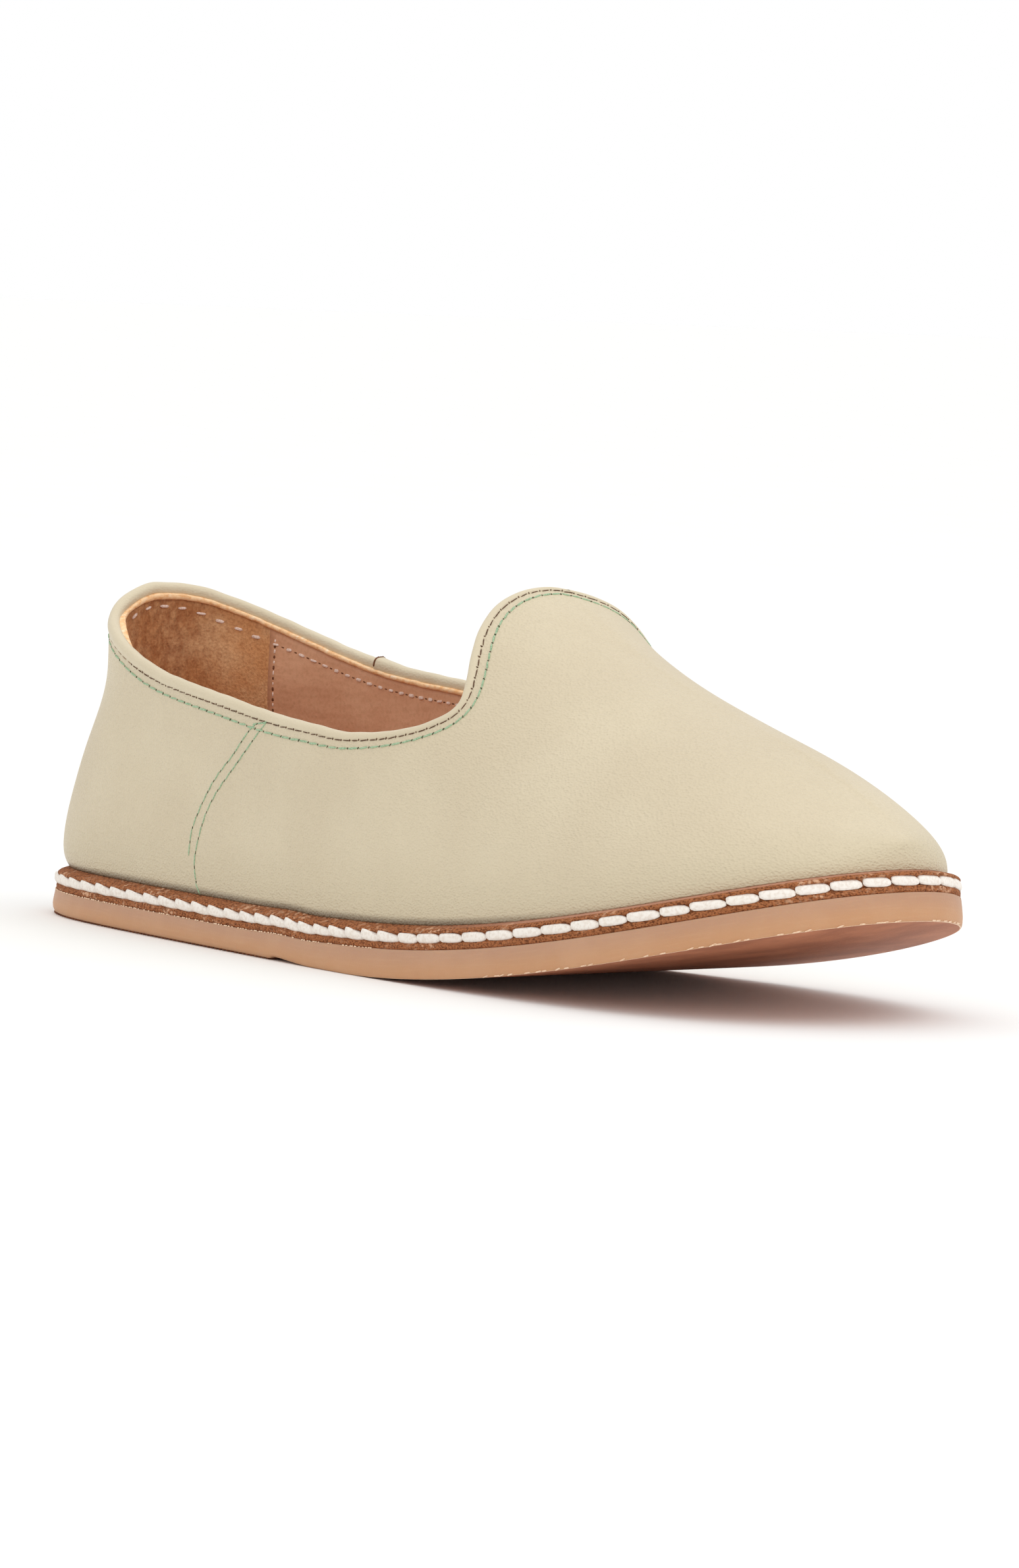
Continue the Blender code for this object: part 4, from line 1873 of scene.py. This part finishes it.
@dataclass
class CollarSeams:
    """Fine threads of the collar and lining."""

    brown_pitch: float = 2.8
    brown_out: float = 1.0
    brown_drop: float = 0.12
    tick_rise: float = 0.1
    green_out: float = 0.9
    lining_out: float = -1.0
    faded_to: float = 0.25
    suede_pitch: float = 4.6
    seam_pitch: float = 2.4
    seam_shift: float = 0.008
    seam_span: tuple[float, float] = (0.2, 0.97)

    def green_drop(self, place: Array) -> Array:
        """Distance of the green row below the brown one, from the heel to the tongue."""
        return curve(GREEN_DROP, np.abs(place))

    def green_pitch(self, place: Array) -> Array:
        """Stitch length of the green row, shorter round the tongue."""
        return np.interp(np.abs(place), (0.0, 0.6, 0.75, 1.0), (3.2, 3.4, 2.5, 2.4))

    def lining_drop(self, place: Array) -> Array:
        """Distance of the lining's row below the rim."""
        return np.interp(np.abs(place), (0.0, 0.06, 0.14, 0.2, 0.26, 0.36, 0.45, 0.6),
                         (1.7, 2.1, 3.1, 3.4, 3.0, 2.9, 2.6, 1.7))

    def hide_pitch(self, place: Array) -> Array:
        """Stitch length of the row on the smooth lining, shorter towards the tongue."""
        return np.interp(np.abs(place), (0.2, 0.38, 0.5), (4.1, 3.7, 2.6))

    def collar(self, rim: RimPath, upper: Upper, skin: BVHTree, green: bpy.types.Material,
               hole: bpy.types.Material) -> None:
        """Brown thread under the binding and the green row below it.

        Args:
            rim: The collar's edge.
            upper: Sizes of the upper.
            skin: Search tree of its outer face.
            green: Thread of the lower row.
            hole: Needle holes, drawn as dark marks of painted shade.
        """
        level = upper.crest - upper.cover(rim.place)
        path = Path.on(rim.at(self.brown_out, level - self.brown_drop), skin)
        run = path.lengths()
        where = even(path, self.brown_pitch)
        heel = np.abs(np.interp(where, run, rim.place)) < self.faded_to
        for name, part, thread in (("faded_binding_thread", heel, FADED), ("binding_thread", ~heel, BROWN)):
            row = StitchRow(name, "brown_thread", thread.make(), length=1.9, width=0.24, height=0.22,
                            lift=0.04, tilt=4.0, uneven=0.16)
            row.build(path, where[part])
        ticks = Path.on(rim.at(self.brown_out, level + self.tick_rise), skin)
        where = even(ticks, self.brown_pitch, 1.0)[:-1]
        front = np.abs(np.interp(where, ticks.lengths(), rim.place)) >= self.faded_to
        row = StitchRow("binding_thread_ticks", "brown_thread", BROWN.make(), length=0.75, width=0.28,
                        height=0.28, lift=0.06, tilt=68.0, uneven=0.2, seed=8)
        row.build(ticks, where[front])
        path = Path.on(rim.at(self.green_out, level - self.green_drop(rim.place)), skin)
        pitch = self.green_pitch(rim.place)
        where = even(path, pitch)
        stretch = np.interp(where, path.lengths(), pitch)
        row = StitchRow("collar_stitches", "green_thread", green, length=0.86, width=0.44, height=0.4,
                        lift=0.04, tilt=5.0, uneven=0.1)
        row.build(path, where, stretch)
        # Needle holes between the green stitches: dark marks of painted shade
        row = StitchRow("collar_needle_holes", "brown_thread", hole, length=0.6, width=0.32,
                        height=0.14, lift=0.05, tilt=55.0, uneven=0.3)
        row.build(path, even(path, pitch, 1.0)[:-1])

    def inside(self, rim: RimPath, lining: Lining, heel: BVHTree, front: BVHTree) -> None:
        """Rose thread below the lining's edge, and needle holes down the seam between its parts, drawn as
        dark marks of painted shade.

        Args:
            rim: The collar's edge.
            lining: Sizes of the lining.
            heel: Search tree of the heel lining.
            front: Search tree of the front lining.
        """
        rose, hole = ROSE.make(), LINING_HOLE_SHADE.make()
        away = np.abs(rim.place)
        level = rim.at(self.lining_out, -self.lining_drop(rim.place))
        around = np.argsort(rim.place)
        around = around[away[around] <= lining.seam]
        ahead = np.flatnonzero(away >= lining.seam)
        for name, wall, order, pitch in (
                ("heel", heel, around, np.full(len(around), self.suede_pitch)),
                ("front", front, ahead, self.hide_pitch(rim.place[ahead]))):
            path = Path.on(level[order], wall, -1.0)
            where = even(path, pitch)
            stretch = np.interp(where, path.lengths(), pitch)
            row = StitchRow(f"lining_stitches_{name}", "lining_thread", rose, length=0.44, width=0.72,
                            height=0.5, lift=0.08, tilt=6.0, uneven=0.2, seed=3)
            row.build(path, where, stretch)
            if name == "front":
                # Needle holes in the front lining: dark marks of painted shade
                row = StitchRow("lining_holes", "brown_thread", hole, length=0.9, width=0.34,
                                height=0.1)
                row.build(path, even(path, pitch, 1.0)[:-1])
        share = np.linspace(*self.seam_span, 60)
        for side in Side:
            here = np.array([lining.seam + self.seam_shift])
            sole, at, up = (float(v[0]) for v in LAST.columns(side, here))
            sole += float(lining.lean(here)[0])
            line = LAST.surface(sole + (at - sole) * share, up * share, side)
            path = Path.on(line, front, -1.0)
            label = f"lining_seam_{side.name.lower()}"
            row = StitchRow(label, "lining_thread", rose, length=0.9, width=0.4, height=0.25,
                            tilt=3.0, uneven=0.3, seed=4)
            row.build(path, even(path, self.seam_pitch))
            # Needle holes down the seam: dark marks of painted shade
            row = StitchRow(label + "_holes", "brown_thread", hole, length=0.8, width=0.6,
                            height=0.14, lift=0.02, tilt=3.0, uneven=0.2, seed=4)
            row.build(path, even(path, self.seam_pitch, 1.0)[:-1])


class Spot(NamedTuple):
    """Place on the upper: station and share up the section."""

    at: float
    up: float


BACK_ROW = (
    Spot(0.4170, 0.2560),
    Spot(0.4050, 0.2449),
    Spot(0.3921, 0.2033),
    Spot(0.3830, 0.1775),
    Spot(0.3741, 0.1546),
    Spot(0.3671, 0.1331),
    Spot(0.3605, 0.1097),
    Spot(0.3558, 0.0909),
    Spot(0.3530, 0.0740),
    Spot(0.3523, 0.0560),
    Spot(0.3521, 0.0430),
)
FRONT_ROW = (
    Spot(0.4185, 0.2615),
    Spot(0.4118, 0.2403),
    Spot(0.4008, 0.2033),
    Spot(0.3890, 0.1682),
    Spot(0.3775, 0.1375),
    Spot(0.3680, 0.1064),
    Spot(0.3622, 0.0755),
    Spot(0.3593, 0.0469),
    Spot(0.3600, 0.0270),
    Spot(0.3634, 0.0070),
    Spot(0.3660, 0.0005),
)
BACK_TACK = (
    Spot(0.4040, 0.2480),
    Spot(0.4100, 0.2530),
    Spot(0.4190, 0.2625),
    Spot(0.4150, 0.2680),
    Spot(0.4100, 0.2620),
)


@dataclass
class SideSeam:
    """Two green rows that join the back of the upper to its front, locked by a few stitches at the top."""

    pitch: float = 3.3
    tack_pitch: float = 2.0
    thread_share: float = 0.84

    def build(self, skin: BVHTree, green: bpy.types.Material, hole: bpy.types.Material) -> None:
        """Set the rows on both sides of the shoe.

        Args:
            skin: Search tree of the upper's outer face.
            green: Thread.
            hole: Needle holes, drawn as dark marks of painted shade.
        """
        share = np.linspace(0.0, 1.0, 80)
        for side in Side:
            for name, spots, pitch in (("back", BACK_ROW, self.pitch), ("front", FRONT_ROW, self.pitch),
                                       ("tack", BACK_TACK, self.tack_pitch)):
                at, up = curve(column(spots, "at"), share), curve(column(spots, "up"), share)
                path = Path.on(LAST.surface(at, np.clip(up, 0.0, 1.0), side), skin)
                label = f"side_seam_{side.name.lower()}_{name}"
                row = StitchRow(label, "green_thread", green, length=pitch * self.thread_share,
                                width=0.34, height=0.32, lift=0.03, tilt=4.0, uneven=0.1)
                row.build(path, even(path, pitch))
                # Needle holes between the stitches: dark marks of painted shade
                row = StitchRow(label + "_holes", "brown_thread", hole, length=0.75, width=0.3,
                                height=0.12, lift=0.03, tilt=12.0, uneven=0.3)
                row.build(path, even(path, pitch, 1.0)[:-1])


class Softbox(NamedTuple):
    """Square light that looks at the shoe: degrees round it and up, metres away and wide, watts."""

    name: str
    azimuth: float
    elevation: float
    distance: float
    size: float
    power: float


SOFTBOXES = (
    Softbox("key", 95.0, 55.0, 1.6, 0.9, 3.0),
    Softbox("fill", 85.0, 8.0, 1.6, 0.9, 1.2),
)


@dataclass
class Studio:
    """Floor, soft light and the camera at the photograph's angle."""

    azimuth: float = 49.236
    elevation: float = 4.342
    roll: float = 2.484
    distance: float = 1503.6
    aim_height: float = 30.0
    aim_right: float = 7.65
    aim_up: float = 9.08
    focal: float = 7393.1
    enlarge: float = 1.44
    frame_height: float = 2380.0
    sensor: float = 36.0
    sky_low: float = 0.72
    sky_high: float = 1.25
    backdrop: float = 1.0
    floor_half: float = 30.0

    def camera(self) -> None:
        """Camera with the photograph's direction, distance and roll."""
        turn, lift, roll = (math.radians(v) for v in (self.azimuth, self.elevation, self.roll))
        right = Vector((math.cos(turn), math.sin(turn), 0.0))
        ahead = Vector((-math.sin(turn) * math.cos(lift), math.cos(turn) * math.cos(lift), -math.sin(lift)))
        up = right.cross(ahead)
        middle = Vector((0.0, 0.0, self.aim_height))
        eye = middle - ahead * self.distance
        ahead = (middle + right * self.aim_right + up * self.aim_up - eye).normalized()
        right = (right - ahead * right.dot(ahead)).normalized()
        up = right.cross(ahead)
        x_axis = right * math.cos(roll) + up * math.sin(roll)
        y_axis = up * math.cos(roll) - right * math.sin(roll)
        data = bpy.data.cameras.new("camera")
        data.sensor_width = self.sensor
        data.lens = self.focal * self.enlarge * self.sensor / self.frame_height
        data.clip_start, data.clip_end = 0.01, 100.0
        camera = add_object("camera", data)
        turn_matrix = Matrix((x_axis, y_axis, -ahead)).transposed().to_4x4()
        camera.matrix_world = Matrix.Translation(eye * MM) @ turn_matrix
        bpy.context.scene.camera = camera

    def floor(self) -> None:
        """Wide pale floor."""
        half = self.floor_half
        corners = [(-half, -half, 0.0), (half, -half, 0.0), (half, half, 0.0), (-half, half, 0.0)]
        mesh = bpy.data.meshes.new("floor")
        mesh.from_pydata(corners, [], [(0, 1, 2, 3)])
        mesh.materials.append(PALE_FLOOR.make())
        floor = add_object("floor", mesh)

    def light(self, box: Softbox) -> None:
        """One softbox.

        Args:
            box: Its place, size and power.
        """
        data = bpy.data.lights.new(box.name, "AREA")
        data.shape, data.size, data.energy = "SQUARE", box.size, box.power
        turn, lift = math.radians(box.azimuth), math.radians(box.elevation)
        back = Vector((math.sin(turn) * math.cos(lift), -math.cos(turn) * math.cos(lift), math.sin(lift)))
        turn_matrix = (-back).to_track_quat("-Z", "Y").to_matrix().to_4x4()
        lamp = add_object(box.name, data)
        lamp.matrix_world = Matrix.Translation(back * box.distance) @ turn_matrix

    def sky(self) -> None:
        """White surroundings, brighter overhead, that meet the floor without a line."""
        world = bpy.data.worlds.new("studio")
        world.use_nodes = True
        tree = world.node_tree
        ground = tree.nodes["Background"]
        way = add_node(tree, "ShaderNodeTexCoord").outputs["Generated"]
        height = add_node(tree, "ShaderNodeSeparateXYZ", None, {0: way}).outputs[2]
        glow = add_node(tree, "ShaderNodeMapRange", None,
                        {"Value": height, "To Min": self.sky_low, "To Max": self.sky_high}).outputs[0]
        seen = add_node(tree, "ShaderNodeLightPath").outputs["Is Camera Ray"]
        strength = add_node(tree, "ShaderNodeMix", {"data_type": "FLOAT"},
                            {0: seen, 2: glow, 3: self.backdrop}).outputs[0]
        wire(ground, {"Color": (1.0, 1.0, 1.0, 1.0), "Strength": strength})
        bpy.context.scene.world = world

    def build(self) -> None:
        """Set up the studio."""
        bpy.context.scene.view_settings.view_transform = "Standard"
        self.camera()
        self.floor()
        self.sky()
        for box in SOFTBOXES:
            self.light(box)


def main() -> None:
    """Build the shoe from the sole up, then its threads and the studio."""
    logging.basicConfig(level=logging.INFO)
    binding = Binding()
    rim = RimPath.make(RIM_STEPS, abs(binding.joint_place))
    sole = Sole()
    pale = PALE_GUM.make()
    outsole = make_piece("gum_outsole", sole.outsole(), [GUM.make(), TREAD.make(), pale])
    # The caps come last, underside and top by turns; the first ring of faces is the bottom edge
    for face in list(outsole.data.polygons)[-2 * sole.stations::2]:
        face.material_index = 1
    # From just in front of the middle, the bottom edge takes the pale gum: a painted highlight along the
    # rubber's lower rim
    for face in outsole.data.polygons[:2 * sole.stations]:
        face.material_index = 2 if face.center.x > sole.rim_from * MM else 0
    settle(outsole, "gum_rubber", "outsole")
    sole.tread(SHADED_HEEL_TREAD.make())
    sole.specks(pale)
    settle(make_piece("stitched_welt", sole.welt(), [WELT_HIDE.make()]), "welt_leather", "welt")
    settle(make_piece("insole_sock", sole.insole(), [SOCK_HIDE.make()]), "insole_leather", "insole")
    upper = Upper()
    face, skin = upper.build(rim)
    settle(make_piece("upper_skin", skin, [SAGE_CALF.make()]), "upper_leather", "upper")
    strip = binding.build(rim, upper)
    settle(make_piece("rolled_binding", strip, [SAGE_STRIP.make()]), "binding_leather", "collar_binding")
    binding.joint(rim, strip)
    lining = Lining()
    heel_face, heel = lining.wall(0.0, lining.seam, *lining.heel_grid)
    settle(make_piece("heel_lining", heel, [HEEL_SUEDE.make()]), "lining_suede")
    front_face, front = lining.wall(lining.seam, 2.0, *lining.front_grid)
    settle(make_piece("front_lining", front, [FRONT_HIDE.make()]), "lining_leather")
    settle(make_piece("lining_edge", lining.edge(rim), [RAW_EDGE.make()]), "lining_edge")
    WeltSeam().build(sole.seam_path())
    outside = face.tree()
    seams = CollarSeams()
    green, hole = GREEN.make(), HOLE_SHADE.make()
    seams.collar(rim, upper, outside, green, hole)
    seams.inside(rim, lining, heel_face.tree(), front_face.tree())
    SideSeam().build(outside, green, hole)
    Studio().build()


if __name__ == "__main__":
    main()
